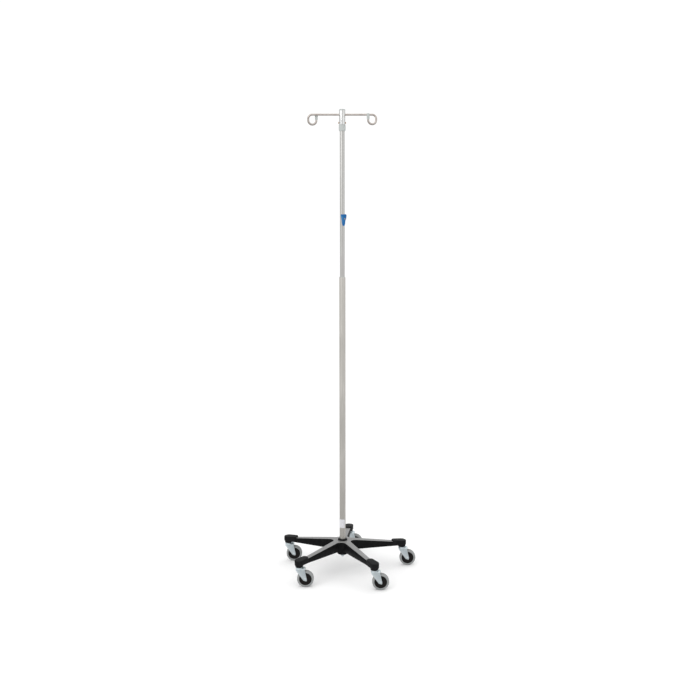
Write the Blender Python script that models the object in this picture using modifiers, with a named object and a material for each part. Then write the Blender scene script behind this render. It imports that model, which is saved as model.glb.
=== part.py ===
"""A telescoping IV pole with two bag hooks on a five-legged caster base.

Metres, +Z up. The origin is the floor point under the pole's axis, the hook bar
runs along X, and the thumb lever is on the +X side of the inner tube.
"""
import math

import bmesh
import bpy
from mathutils import Matrix

# Floor, base and legs
FLOOR_TO_BOSS = 0.0915
LEG_NAMES = ("right", "back", "left", "front_left", "front_right")
FIRST_LEG_AZIMUTH = math.radians(11.4)
LEG_STEP = math.tau / len(LEG_NAMES)
STEM_CIRCLE_RADIUS = 0.290
HUB_TOP = 0.146
HUB_FLAT_RADIUS = 0.055
TOP_SLOPE = math.tan(math.radians(7.2))
LEG_BOTTOM = 0.1
LEG_END_RADIUS = 0.262
LEG_ROOT_HALF_WIDTH = 0.0169
LEG_TAPER = 0.0242
LEG_WALL = 0.004
CROTCH_FILLET = 0.025
CROTCH_STEPS = 7
INLAY_THICKNESS = 0.0012
INLAY_BORDER = 0.0008
INLAY_END_RADIUS = 0.250
ENVELOPE_STEPS = 3 * len(LEG_NAMES)
HUB_RADIUS = 0.0252
HUB_BOTTOM = 0.0775
POCKET_START = 0.050
POCKET_END = 0.205

# The hub's bush and the stud under the tube
HUB_SPIGOT_BORE = 0.0181
BUSH_FLANGE_RADIUS = 0.02185
BUSH_TOP = 0.1522
SPIGOT_BOTTOM = 0.1155
STUD_RADIUS = 0.005
FOOT_PLUG_TOP = 0.1185
WASHER_RADIUS = 0.0135
WASHER_THICKNESS = 0.0015
NUT_RADIUS = 0.0105
NUT_BOTTOM = 0.063

# Leg end caps with the caster sockets
CAP_NOSE_TOP = 0.1289
CAP_SLOPE = math.tan(math.radians(4.4))
CAP_BOTTOM = 0.102
CAP_NOSE_HALF_WIDTH = 0.0172
CAP_NOSE_LENGTH = 0.0125
CAP_NOSE_CENTRE = 0.2525
CAP_END_RADIUS = 0.021
CAP_EDGE = 0.002
BOSS_RADIUS = 0.0196
BOSS_FOOT_RADIUS = 0.0172
BOSS_EDGE = 0.0025
SOCKET_TOP = 0.1115

# Casters
TRAIL = 0.028
TRAIL_AZIMUTH = 0.0
WHEEL_RADIUS = 0.038
TYRE_HALF_WIDTH = 0.012
HUB_DISC_RADIUS = 0.0285
TYRE_STEPS = 24
WHEEL_STEPS = 16
FORK_OUTSIDE = 0.0162
FORK_PLATE = 0.002
FORK_FRONT = -0.0155
FORK_REAR = 0.0265
FORK_TIP_RADIUS = 0.0068
CROWN_TOP = 0.0893
CROWN_BOTTOM = 0.0812
CROWN_CEILING = 0.0832
CROWN_RADIUS = 0.0185
CROWN_FRONT_CENTRE = 0.0022
CROWN_REAR_CENTRE = 0.0108
RACE_RADIUS = 0.0152
RACE_TOP = 0.0912
STEM_RADIUS = 0.0055
AXLE_RADIUS = 0.003
AXLE_HEAD_RADIUS = 0.0046

# Pole tubes
OUTER_RADIUS = 0.0143
OUTER_BORE = 0.0128
OUTER_BOTTOM = 0.088
OUTER_TOP = 1.3875
INNER_RADIUS = 0.0111
INNER_BORE = 0.0099
INNER_BOTTOM = 0.9485
INNER_TOP = 2.1015
TUBE_STEPS = 24
SMALL_STEPS = 10
LABEL_STEPS = 16

# Head, collar and hooks
COLLAR_BOTTOM = 2.0405
COLLAR_TOP = 2.0675
COLLAR_RADIUS = 0.0155
SPIGOT_TOP = 2.0965
HEAD_RADIUS = 0.0144
HEAD_BORE = 0.0129
HEAD_TOP = 2.1305
CAP_TOP = 2.1369
CROSS_PIN_HEIGHT = 2.0765
CROSS_PIN_RADIUS = 0.0025
CROSS_PIN_HEAD = 0.00475
BAR_HEIGHT = 2.1125
ROD_RADIUS = 0.00475
HOOK_OUTER_X = 0.1518
HOOK_BEND = 0.018
HOOK_STRAIGHT = 0.0066
HOOK_OFFSET = 0.01175
HOOK_STEPS = 12
TIP_RADIUS = 0.0065
TIP_LENGTH = 0.027
TIP_WALL = 0.0015

# Thumb lever and the lock below it
PIVOT_X = 0.0118
PIVOT_HEIGHT = 1.6515
PIVOT_RADIUS = 0.0015
LEVER_HALF_WIDTH = 0.0132
LEVER_GAP = 0.0116
FINGER_HALF_WIDTH = 0.002
FINGER_HALF_HEIGHT = 0.0025
FINGER_DIP = 0.0025
WINDOW_HALF_WIDTH = 0.0052
WINDOW_HALF_HEIGHT = 0.010
LOCK_TOP = 0.9885
PULL_ROD_RADIUS = 0.0015
ROD_COLLAR_HEIGHT = 1.0335
SPRING_RADIUS = 0.004
SPRING_WIRE = 0.0005
SPRING_TURNS = 6
SPRING_POINTS_A_TURN = 8
ROD_COLLAR_RADIUS = 0.005

GAP = 0.0003
WELD_DISTANCE = 0.00001
LONG = 0.1


def clear_scene():
    for item in list(bpy.data.objects):
        bpy.data.objects.remove(item, do_unlink=True)


def new_collection(name):
    group = bpy.data.collections.new(name)
    bpy.context.scene.collection.children.link(group)
    return group


def make_material(name, colour, roughness, metallic):
    made = bpy.data.materials.new(name)
    made.use_nodes = True
    shader = made.node_tree.nodes["Principled BSDF"]
    shader.inputs["Base Color"].default_value = (*colour, 1.0)
    shader.inputs["Roughness"].default_value = roughness
    shader.inputs["Metallic"].default_value = metallic
    return made


def add_part(name, mesh, material, parent=None):
    """Add one named piece of the pole to the parts collection."""
    piece = bpy.data.objects.new(name, mesh)
    if not mesh.materials:
        mesh.materials.append(material)
    PARTS.objects.link(piece)
    piece.parent = parent
    return piece


def add_cutter(name, mesh):
    """Add a body that only shapes others."""
    tool = bpy.data.objects.new(name, mesh)
    tool.hide_render = True
    tool.display_type = "WIRE"
    CUTTERS.objects.link(tool)
    return tool


def add_frame(name, location, turn=0.0, parent=None):
    """Add an empty that stands on a joint's axis."""
    frame = bpy.data.objects.new(name, None)
    frame.location = location
    frame.rotation_euler = (0.0, 0.0, turn)
    frame.parent = parent
    PARTS.objects.link(frame)
    return frame


def combine(piece, tool, operation):
    modifier = piece.modifiers.new(operation.lower(), "BOOLEAN")
    modifier.operation = operation
    modifier.solver = "EXACT"
    modifier.object = tool


def round_edges(piece, width, segments=1):
    modifier = piece.modifiers.new("rounded", "BEVEL")
    modifier.width = width
    modifier.segments = segments
    modifier.limit_method = "ANGLE"
    modifier.angle_limit = math.radians(40.0)


def finished_mesh(piece, tools=()):
    """Return the mesh with its modifiers applied, and drop the objects behind it."""
    bpy.context.view_layer.update()
    shaped = piece.evaluated_get(bpy.context.evaluated_depsgraph_get())
    mesh = bpy.data.meshes.new_from_object(shaped)
    mesh.name = piece.name
    for item in (piece, *tools):
        bpy.data.objects.remove(item, do_unlink=True)
    return mesh


def screw_object(name, profile, steps, closed):
    """Turn a profile of (radius, height) points about Z, outer side running down."""
    mesh = bpy.data.meshes.new(name)
    last = len(profile) - 1
    edges = [(step, step + 1) for step in range(last)]
    if closed:
        edges.append((last, 0))
    mesh.from_pydata([(radius, 0.0, height) for radius, height in profile], edges, [])
    turned = add_cutter(name, mesh)
    screw = turned.modifiers.new("turned", "SCREW")
    screw.steps = steps
    screw.render_steps = steps
    screw.use_merge_vertices = True
    screw.merge_threshold = WELD_DISTANCE
    return turned


def turned_mesh(name, profile, steps=TUBE_STEPS, closed=False):
    mesh = finished_mesh(screw_object(name, profile, steps, closed))
    mesh.shade_smooth()
    mesh.set_sharp_from_angle(angle=math.radians(40.0))
    return mesh


def tube_mesh(name, radius, bore, low, high, steps=TUBE_STEPS):
    profile = [(radius, high), (radius, low), (bore, low), (bore, high)]
    return turned_mesh(name, profile, steps, closed=True)


def rod_mesh(name, radius, low, high, steps=SMALL_STEPS, low_radius=None):
    """A rod along Z, tapered where its low end has a radius of its own."""
    shape = bmesh.new()
    foot = radius if low_radius is None else low_radius
    bmesh.ops.create_cone(
        shape, cap_ends=True, segments=steps, radius1=foot, radius2=radius, depth=high - low
    )
    mesh = bpy.data.meshes.new(name)
    shape.to_mesh(mesh)
    shape.free()
    mesh.transform(Matrix.Translation((0.0, 0.0, (low + high) / 2)))
    mesh.shade_smooth()
    mesh.set_sharp_from_angle(angle=math.radians(40.0))
    return mesh


def cross_rod_mesh(name, radius, half_length, axis, steps=SMALL_STEPS):
    """A rod centred on the origin that lies along X or Y."""
    mesh = rod_mesh(name, radius, -half_length, half_length, steps)
    lay_along(mesh, axis)
    return mesh


def lay_along(mesh, axis):
    """Turn a mesh made about Z so that its axis lies along X or Y."""
    about = {"X": "Y", "Y": "X"}[axis]
    mesh.transform(Matrix.Rotation(math.pi / 2, 4, about))


def curve_mesh(name, curve):
    """Turn a curve into a welded mesh."""
    mesh = finished_mesh(add_cutter(name, curve))
    bpy.data.curves.remove(curve)
    shape = bmesh.new()
    shape.from_mesh(mesh)
    bmesh.ops.remove_doubles(shape, verts=shape.verts, dist=WELD_DISTANCE)
    shape.to_mesh(mesh)
    shape.free()
    return mesh


def prism_mesh(name, outline, low, high):
    """A flat outline of (x, y) points, extruded from low to high."""
    curve = bpy.data.curves.new(name, "CURVE")
    curve.dimensions = "2D"
    curve.fill_mode = "BOTH"
    curve.extrude = (high - low) / 2
    spline = curve.splines.new("POLY")
    spline.points.add(len(outline) - 1)
    for point, (x, y) in zip(spline.points, outline):
        point.co = (x, y, 0.0, 1.0)
    spline.use_cyclic_u = True
    mesh = curve_mesh(name, curve)
    mesh.transform(Matrix.Translation((0.0, 0.0, (low + high) / 2)))
    return mesh


def side_prism_mesh(name, outline, half_width):
    """An outline of (x, z) points, extruded evenly to both sides along Y."""
    mesh = prism_mesh(name, outline, -half_width, half_width)
    mesh.transform(Matrix.Rotation(math.pi / 2, 4, "X"))
    return mesh


def wire_mesh(name, points, radius, sides):
    """A round wire along a list of points."""
    curve = bpy.data.curves.new(name, "CURVE")
    curve.dimensions = "3D"
    curve.bevel_depth = radius
    curve.bevel_resolution = sides // 2 - 2
    curve.use_fill_caps = True
    spline = curve.splines.new("POLY")
    spline.points.add(len(points) - 1)
    for point, place in zip(spline.points, points):
        point.co = (*place, 1.0)
    mesh = curve_mesh(name, curve)
    mesh.shade_smooth()
    mesh.set_sharp_from_angle(angle=math.radians(50.0))
    return mesh


def box_mesh(name, low, high):
    shape = bmesh.new()
    bmesh.ops.create_cube(shape, size=1.0)
    for vertex in shape.verts:
        for axis in range(3):
            vertex.co[axis] = high[axis] if vertex.co[axis] > 0 else low[axis]
    mesh = bpy.data.meshes.new(name)
    shape.to_mesh(mesh)
    shape.free()
    return mesh


def arc(centre, radius, start, end, steps):
    """Points on an arc about a centre, both ends included."""
    return [
        (
            centre[0] + radius * math.cos(start + (end - start) * step / steps),
            centre[1] + radius * math.sin(start + (end - start) * step / steps),
        )
        for step in range(steps + 1)
    ]


def strip_top(radius):
    """Height of the bright top face, level at the hub and falling along each leg."""
    return HUB_TOP - TOP_SLOPE * max(0.0, radius - HUB_FLAT_RADIUS)


def leg_half_width(radius, border=0.0):
    return LEG_ROOT_HALF_WIDTH - LEG_TAPER * radius + border


def star_outline(border, end_radius):
    """Five tapered legs that meet in round crotches."""
    taper_angle = math.atan(LEG_TAPER)
    lean = LEG_STEP / 2 + taper_angle
    fillet = CROTCH_FILLET - border
    reach = (LEG_ROOT_HALF_WIDTH + border) * math.cos(taper_angle) + fillet
    crotch_centre = reach / math.sin(lean)
    half_arc = math.pi / 2 - lean
    outline = []
    for leg in range(len(LEG_NAMES)):
        azimuth = FIRST_LEG_AZIMUTH + LEG_STEP * leg
        for side in (-1, 1):
            width = side * leg_half_width(end_radius, border)
            x = end_radius * math.cos(azimuth) - width * math.sin(azimuth)
            y = end_radius * math.sin(azimuth) + width * math.cos(azimuth)
            outline.append((x, y))
        middle = azimuth + LEG_STEP / 2
        centre = (crotch_centre * math.cos(middle), crotch_centre * math.sin(middle))
        inward = middle + math.pi
        outline += arc(centre, fillet, inward + half_arc, inward - half_arc, CROTCH_STEPS)
    return outline


def star_envelope(name, drop, low_profile):
    """A turned body whose top is the legs' sloping top face, lowered by drop.

    Each leg lies under one flat facet, so radii are stretched to the facet's corners.
    """
    stretch = 1 / math.cos(math.pi / ENVELOPE_STEPS)
    rim = STEM_CIRCLE_RADIUS
    profile = [
        (0.0, HUB_TOP - drop),
        (HUB_FLAT_RADIUS * stretch, HUB_TOP - drop),
        (rim * stretch, strip_top(rim) - drop),
        *low_profile,
    ]
    body = screw_object(name, profile, ENVELOPE_STEPS, closed=False)
    body.rotation_euler = (0.0, 0.0, FIRST_LEG_AZIMUTH + math.pi / ENVELOPE_STEPS)
    return body


def leg_block_mesh(name, start, end, clearance, drop):
    """A tapered block along X that fills a leg's section from below its underside."""
    mesh = box_mesh(name, (start, -1.0, 0.0), (end, 1.0, 1.0))
    for vertex in mesh.vertices:
        half_width = leg_half_width(vertex.co.x, INLAY_BORDER) + clearance
        vertex.co.y = math.copysign(half_width, vertex.co.y)
        vertex.co.z = strip_top(vertex.co.x) - drop if vertex.co.z > 0.5 else HUB_BOTTOM
    return mesh


def build_base_casting():
    """Hub and five legs in one casting, with each leg hollow from below."""
    outline = star_outline(INLAY_BORDER, LEG_END_RADIUS)
    star = add_part(
        "base_casting", prism_mesh("base_casting", outline, LEG_BOTTOM, HUB_TOP + GAP), BLACK_PAINT
    )
    stretch = 1 / math.cos(math.pi / ENVELOPE_STEPS)
    rim = STEM_CIRCLE_RADIUS * stretch
    low = [(rim, HUB_BOTTOM), (0.0, HUB_BOTTOM)]
    combine(star, star_envelope("casting_envelope", INLAY_THICKNESS + GAP, low), "INTERSECT")
    for leg in range(len(LEG_NAMES)):
        ceiling = INLAY_THICKNESS + GAP + LEG_WALL
        pocket = leg_block_mesh("leg_pocket", POCKET_START, POCKET_END, -LEG_WALL, ceiling)
        pocket.transform(Matrix.Rotation(FIRST_LEG_AZIMUTH + LEG_STEP * leg, 4, "Z"))
        combine(star, add_cutter(f"leg_pocket_{LEG_NAMES[leg]}", pocket), "DIFFERENCE")
    chamfer = 0.002
    hub = turned_profile_solid(
        [(HUB_RADIUS, HUB_TOP - 0.01), (HUB_RADIUS, HUB_BOTTOM + chamfer), (HUB_RADIUS - chamfer, HUB_BOTTOM)]
    )
    combine(star, screw_object("hub_boss", hub, TUBE_STEPS, closed=False), "UNION")
    bore = turned_profile_solid(
        [
            (HUB_SPIGOT_BORE, HUB_TOP + LONG),
            (HUB_SPIGOT_BORE, SPIGOT_BOTTOM - GAP),
            (OUTER_RADIUS + GAP, SPIGOT_BOTTOM - GAP),
            (OUTER_RADIUS + GAP, OUTER_BOTTOM - GAP),
            (STUD_RADIUS + 2 * GAP, OUTER_BOTTOM - GAP),
            (STUD_RADIUS + 2 * GAP, HUB_BOTTOM - LONG),
        ]
    )
    combine(star, screw_object("hub_bore", bore, TUBE_STEPS, closed=False), "DIFFERENCE")


def turned_profile_solid(points):
    """Close a turned outer profile onto the axis at both ends."""
    return [(0.0, points[0][1]), *points, (0.0, points[-1][1])]


def build_star_inlay():
    """The bright plate on top of the star."""
    outline = star_outline(0.0, INLAY_END_RADIUS)
    mesh = prism_mesh("base_star_inlay", outline, LEG_BOTTOM, HUB_TOP + GAP)
    plate = add_part("base_star_inlay", mesh, SATIN_METAL)
    stretch = 1 / math.cos(math.pi / ENVELOPE_STEPS)
    rim = STEM_CIRCLE_RADIUS
    low = [
        (rim * stretch, strip_top(rim) - INLAY_THICKNESS),
        (HUB_FLAT_RADIUS * stretch, HUB_TOP - INLAY_THICKNESS),
        (0.0, HUB_TOP - INLAY_THICKNESS),
    ]
    combine(plate, star_envelope("inlay_envelope", 0.0, low), "INTERSECT")
    hole = rod_mesh("inlay_hole", HUB_SPIGOT_BORE, HUB_TOP - LONG, HUB_TOP + LONG, TUBE_STEPS)
    combine(plate, add_cutter("inlay_hole", hole), "DIFFERENCE")


def leg_end_cap_mesh():
    """A moulded cap that slips over a leg's end and holds the caster's stem."""
    half_turn = math.pi / 2
    outline = arc((STEM_CIRCLE_RADIUS, 0.0), CAP_END_RADIUS, -half_turn, half_turn, 10)
    for x, y in arc((0.0, 0.0), 1.0, half_turn, 3 * half_turn, 8):
        outline.append((CAP_NOSE_CENTRE + CAP_NOSE_LENGTH * x, CAP_NOSE_HALF_WIDTH * y))
    mesh = prism_mesh("leg_end_cap", outline, CAP_BOTTOM, HUB_TOP)
    nose_end = CAP_NOSE_CENTRE - CAP_NOSE_LENGTH
    for vertex in mesh.vertices:
        if vertex.co.z > (CAP_BOTTOM + HUB_TOP) / 2:
            vertex.co.z = CAP_NOSE_TOP - CAP_SLOPE * (vertex.co.x - nose_end)
    cap = add_cutter("leg_end_cap", mesh)
    round_edges(cap, CAP_EDGE)
    boss_top = SOCKET_TOP - 0.004
    boss_mesh = rod_mesh("boss", BOSS_RADIUS, FLOOR_TO_BOSS, boss_top, TUBE_STEPS, BOSS_FOOT_RADIUS)
    boss_mesh.transform(Matrix.Translation((STEM_CIRCLE_RADIUS, 0.0, 0.0)))
    socket_mesh = rod_mesh("socket", STEM_RADIUS + 2 * GAP, 0.0, SOCKET_TOP)
    socket_mesh.transform(Matrix.Translation((STEM_CIRCLE_RADIUS, 0.0, 0.0)))
    leg_mesh = leg_block_mesh("leg_end", POCKET_END - LEG_WALL, LEG_END_RADIUS + GAP, GAP, -GAP)
    tools = [add_cutter(item.name, item) for item in (boss_mesh, socket_mesh, leg_mesh)]
    round_edges(tools[0], BOSS_EDGE)
    combine(cap, tools[0], "UNION")
    combine(cap, tools[1], "DIFFERENCE")
    combine(cap, tools[2], "DIFFERENCE")
    return finished_mesh(cap, tools)


def fork_mesh():
    """A pressed fork: an oval crown with a ball race on it, and two side plates."""
    tip = (TRAIL, WHEEL_RADIUS)
    front_foot = math.radians(-140.0)
    plate_top = (CROWN_TOP + CROWN_BOTTOM) / 2
    outline = [
        (FORK_FRONT, CROWN_BOTTOM - 0.001),
        (FORK_FRONT, plate_top),
        (FORK_REAR, plate_top),
        *arc(tip, FORK_TIP_RADIUS, 0.0, front_foot, 6),
    ]
    outline.reverse()
    fork = add_cutter("fork", side_prism_mesh("fork", outline, FORK_OUTSIDE))
    half_turn = math.pi / 2
    oval = arc((CROWN_REAR_CENTRE, 0.0), CROWN_RADIUS, -half_turn, half_turn, 8)
    oval += arc((CROWN_FRONT_CENTRE, 0.0), CROWN_RADIUS, half_turn, 3 * half_turn, 8)
    crown = add_cutter("crown", prism_mesh("crown", oval, CROWN_BOTTOM, CROWN_TOP))
    round_edges(crown, 0.0015)
    inside = FORK_OUTSIDE - FORK_PLATE
    wheel_room = box_mesh("wheel_room", (-LONG, -inside, -LONG), (LONG, inside, CROWN_CEILING))
    race_mesh = rod_mesh("race", RACE_RADIUS, CROWN_TOP - 0.001, RACE_TOP, WHEEL_STEPS)
    race_mesh.transform(Matrix.Rotation(math.pi / WHEEL_STEPS, 4, "Z"))
    race = add_cutter("race", race_mesh)
    stem_hole = rod_mesh("stem_hole", STEM_RADIUS + 2 * GAP, 0.0, LONG)
    axle_hole = cross_rod_mesh("axle_hole", AXLE_RADIUS + GAP, LONG, "Y")
    axle_hole.transform(Matrix.Translation((TRAIL, 0.0, WHEEL_RADIUS)))
    tools = [add_cutter(item.name, item) for item in (wheel_room, stem_hole, axle_hole)]
    combine(fork, crown, "UNION")
    combine(fork, race, "UNION")
    combine(fork, tools[0], "DIFFERENCE")
    combine(fork, tools[1], "DIFFERENCE")
    combine(fork, tools[2], "DIFFERENCE")
    return finished_mesh(fork, (crown, race, *tools))


def stem_mesh():
    """The swivel stem, with a head under the fork and a groove for its grip ring."""
    profile = turned_profile_solid(
        [
            (STEM_RADIUS - 0.001, SOCKET_TOP - GAP),
            (STEM_RADIUS, SOCKET_TOP - 0.0015),
            (STEM_RADIUS, CROWN_CEILING - GAP),
            (STEM_RADIUS + 0.0025, CROWN_CEILING - GAP),
            (STEM_RADIUS + 0.0025, CROWN_CEILING - 0.0025),
        ]
    )
    return turned_mesh("caster_stem", profile, SMALL_STEPS)


def axle_mesh():
    """A riveted axle with a low head against each side plate."""
    seat = FORK_OUTSIDE + GAP
    head = seat + 0.0014
    profile = [
        (0.0, head + 0.0006),
        (AXLE_HEAD_RADIUS * 0.6, head + 0.0004),
        (AXLE_HEAD_RADIUS, seat),
        (AXLE_RADIUS, seat),
        (AXLE_RADIUS, -seat),
        (AXLE_HEAD_RADIUS, -seat),
        (AXLE_HEAD_RADIUS * 0.6, -head - 0.0004),
        (0.0, -head - 0.0006),
    ]
    mesh = turned_mesh("caster_axle", profile, SMALL_STEPS)
    lay_along(mesh, "Y")
    return mesh


def wheel_hub_mesh():
    """The wheel's moulded centre: a rim, a thinner web and a boss with the bore."""
    rim = HUB_DISC_RADIUS - GAP
    rim_width = 0.0105
    web_width = 0.0085
    boss_width = 0.0134
    boss = 0.0075
    bore = AXLE_RADIUS + GAP
    profile = [
        (rim, rim_width),
        (rim, -rim_width),
        (rim - 0.005, -rim_width),
        (boss + 0.001, -web_width),
        (boss, -boss_width),
        (bore, -boss_width),
        (bore, boss_width),
        (boss, boss_width),
        (boss + 0.001, web_width),
        (rim - 0.005, rim_width),
    ]
    mesh = turned_mesh("wheel_hub", profile, WHEEL_STEPS, closed=True)
    lay_along(mesh, "Y")
    return mesh


def tyre_mesh():
    """A tyre with round shoulders and a flat facet of its tread turned down."""
    tread = WHEEL_RADIUS / math.cos(math.pi / TYRE_STEPS)
    half = TYRE_HALF_WIDTH
    bead = HUB_DISC_RADIUS / math.cos(math.pi / TYRE_STEPS)
    shoulder = 0.004
    profile = [
        (tread - shoulder, half),
        (tread, half - shoulder),
        (tread, -half + shoulder),
        (tread - shoulder, -half),
        (bead, -half + GAP),
        (bead, half - GAP),
    ]
    mesh = turned_mesh("tyre", profile, TYRE_STEPS, closed=True)
    mesh.transform(Matrix.Rotation(math.pi / TYRE_STEPS, 4, "Z"))
    lay_along(mesh, "Y")
    return mesh


def build_casters():
    """Five trailing casters, each swivelling on its stem."""
    cap = leg_end_cap_mesh()
    fork = fork_mesh()
    stem = stem_mesh()
    axle = axle_mesh()
    hub = wheel_hub_mesh()
    tyre = tyre_mesh()
    for leg, name in enumerate(LEG_NAMES):
        azimuth = FIRST_LEG_AZIMUTH + LEG_STEP * leg
        leg_frame = add_frame(f"leg_frame_{name}", (0.0, 0.0, 0.0), azimuth)
        add_part(f"leg_end_cap_{name}", cap, BLACK_PLASTIC, leg_frame)
        x = STEM_CIRCLE_RADIUS * math.cos(azimuth)
        y = STEM_CIRCLE_RADIUS * math.sin(azimuth)
        swivel = add_frame(f"swivel_axis_{name}", (x, y, 0.0), TRAIL_AZIMUTH)
        add_part(f"caster_stem_{name}", stem, ZINC, swivel)
        add_part(f"caster_fork_{name}", fork, ZINC, swivel)
        spin = add_frame(f"wheel_axis_{name}", (TRAIL, 0.0, WHEEL_RADIUS), parent=swivel)
        add_part(f"caster_axle_{name}", axle, ZINC, spin)
        add_part(f"wheel_hub_{name}", hub, BLACK_PLASTIC, spin)
        add_part(f"tyre_{name}", tyre, GREY_RUBBER, spin)


def build_hub_fittings():
    """The bush at the hub's mouth, and the stud, washer and cap nut below."""
    chamfer = 0.0015
    bush = [
        (BUSH_FLANGE_RADIUS - chamfer, BUSH_TOP),
        (BUSH_FLANGE_RADIUS, BUSH_TOP - chamfer),
        (BUSH_FLANGE_RADIUS, HUB_TOP + GAP),
        (HUB_SPIGOT_BORE - GAP, HUB_TOP + GAP),
        (HUB_SPIGOT_BORE - GAP, SPIGOT_BOTTOM),
        (OUTER_RADIUS + GAP, SPIGOT_BOTTOM),
        (OUTER_RADIUS + GAP, BUSH_TOP),
    ]
    add_part("hub_bushing", turned_mesh("hub_bushing", bush, closed=True), BLACK_PLASTIC)
    stud_end = NUT_BOTTOM + 0.004
    plug = turned_profile_solid(
        [
            (OUTER_BORE - GAP, FOOT_PLUG_TOP),
            (OUTER_BORE - GAP, OUTER_BOTTOM),
            (STUD_RADIUS, OUTER_BOTTOM),
            (STUD_RADIUS, stud_end),
        ]
    )
    add_part("tube_foot_plug", turned_mesh("tube_foot_plug", plug, WHEEL_STEPS), ZINC)
    washer_top = HUB_BOTTOM - GAP
    washer_low = washer_top - WASHER_THICKNESS
    washer = tube_mesh("base_washer", WASHER_RADIUS, STUD_RADIUS + GAP, washer_low, washer_top, WHEEL_STEPS)
    add_part("base_washer", washer, ZINC)
    nut_top = washer_low - GAP
    hex_nut = turned_profile_solid([(NUT_RADIUS, nut_top), (NUT_RADIUS, nut_top - 0.0075)])
    nut = add_part("base_cap_nut", turned_mesh("base_cap_nut", hex_nut, 6), ZINC)
    dome = turned_profile_solid(
        [
            (NUT_RADIUS * 0.82, nut_top - 0.006),
            (NUT_RADIUS * 0.80, nut_top - 0.0085),
            (NUT_RADIUS * 0.62, nut_top - 0.0115),
            (NUT_RADIUS * 0.30, NUT_BOTTOM),
        ]
    )
    combine(nut, screw_object("nut_dome", dome, WHEEL_STEPS, closed=False), "UNION")
    thread_mesh = rod_mesh("nut_thread", STUD_RADIUS + 2 * GAP, stud_end - GAP, nut_top + LONG)
    combine(nut, add_cutter("nut_thread", thread_mesh), "DIFFERENCE")


def build_outer_tube():
    """The fixed lower tube, its guide bush and the blank label round it."""
    lip = 0.0007
    profile = [
        (OUTER_RADIUS - lip, OUTER_TOP),
        (OUTER_RADIUS, OUTER_TOP - lip),
        (OUTER_RADIUS, OUTER_BOTTOM),
        (OUTER_BORE, OUTER_BOTTOM),
        (OUTER_BORE, OUTER_TOP),
    ]
    add_part("outer_tube", turned_mesh("outer_tube", profile, closed=True), STEEL)
    bush = [
        (OUTER_BORE - 0.0004, OUTER_TOP + 0.0018),
        (OUTER_RADIUS - 2 * lip, OUTER_TOP + 0.0012),
        (OUTER_RADIUS - lip, OUTER_TOP + GAP),
        (OUTER_BORE - GAP, OUTER_TOP + GAP),
        (OUTER_BORE - GAP, OUTER_TOP - 0.032),
        (INNER_RADIUS + GAP, OUTER_TOP - 0.032),
        (INNER_RADIUS + GAP, OUTER_TOP + 0.0018),
    ]
    add_part("guide_bush", turned_mesh("guide_bush", bush, closed=True), GREY_PLASTIC)
    label_low = 0.2065
    label_high = 0.2475
    label_start = math.radians(160.0)
    label_end = math.radians(314.0)
    inner = OUTER_RADIUS + GAP
    outline = arc((0.0, 0.0), inner + GAP, label_start, label_end, LABEL_STEPS)
    outline += arc((0.0, 0.0), inner, label_end, label_start, LABEL_STEPS)
    label = prism_mesh("label_sticker", outline, label_low, label_high)
    add_part("label_sticker", label, LABEL_WHITE)


def build_inner_tube(slide):
    """The sliding tube, with the lever's window and the cross pin's holes."""
    mesh = tube_mesh("inner_tube", INNER_RADIUS, INNER_BORE, INNER_BOTTOM, INNER_TOP)
    tube = add_part("inner_tube", mesh, STEEL, slide)
    low = (0.0, -WINDOW_HALF_WIDTH, PIVOT_HEIGHT - WINDOW_HALF_HEIGHT)
    high = (LONG, WINDOW_HALF_WIDTH, PIVOT_HEIGHT + WINDOW_HALF_HEIGHT)
    combine(tube, add_cutter("lever_window", box_mesh("lever_window", low, high)), "DIFFERENCE")
    combine(tube, add_cutter("cross_pin_hole", pin_hole_mesh()), "DIFFERENCE")


def pin_hole_mesh():
    mesh = cross_rod_mesh("cross_pin_hole", CROSS_PIN_RADIUS + GAP, LONG, "X")
    mesh.transform(Matrix.Translation((0.0, 0.0, CROSS_PIN_HEIGHT)))
    return mesh


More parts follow.
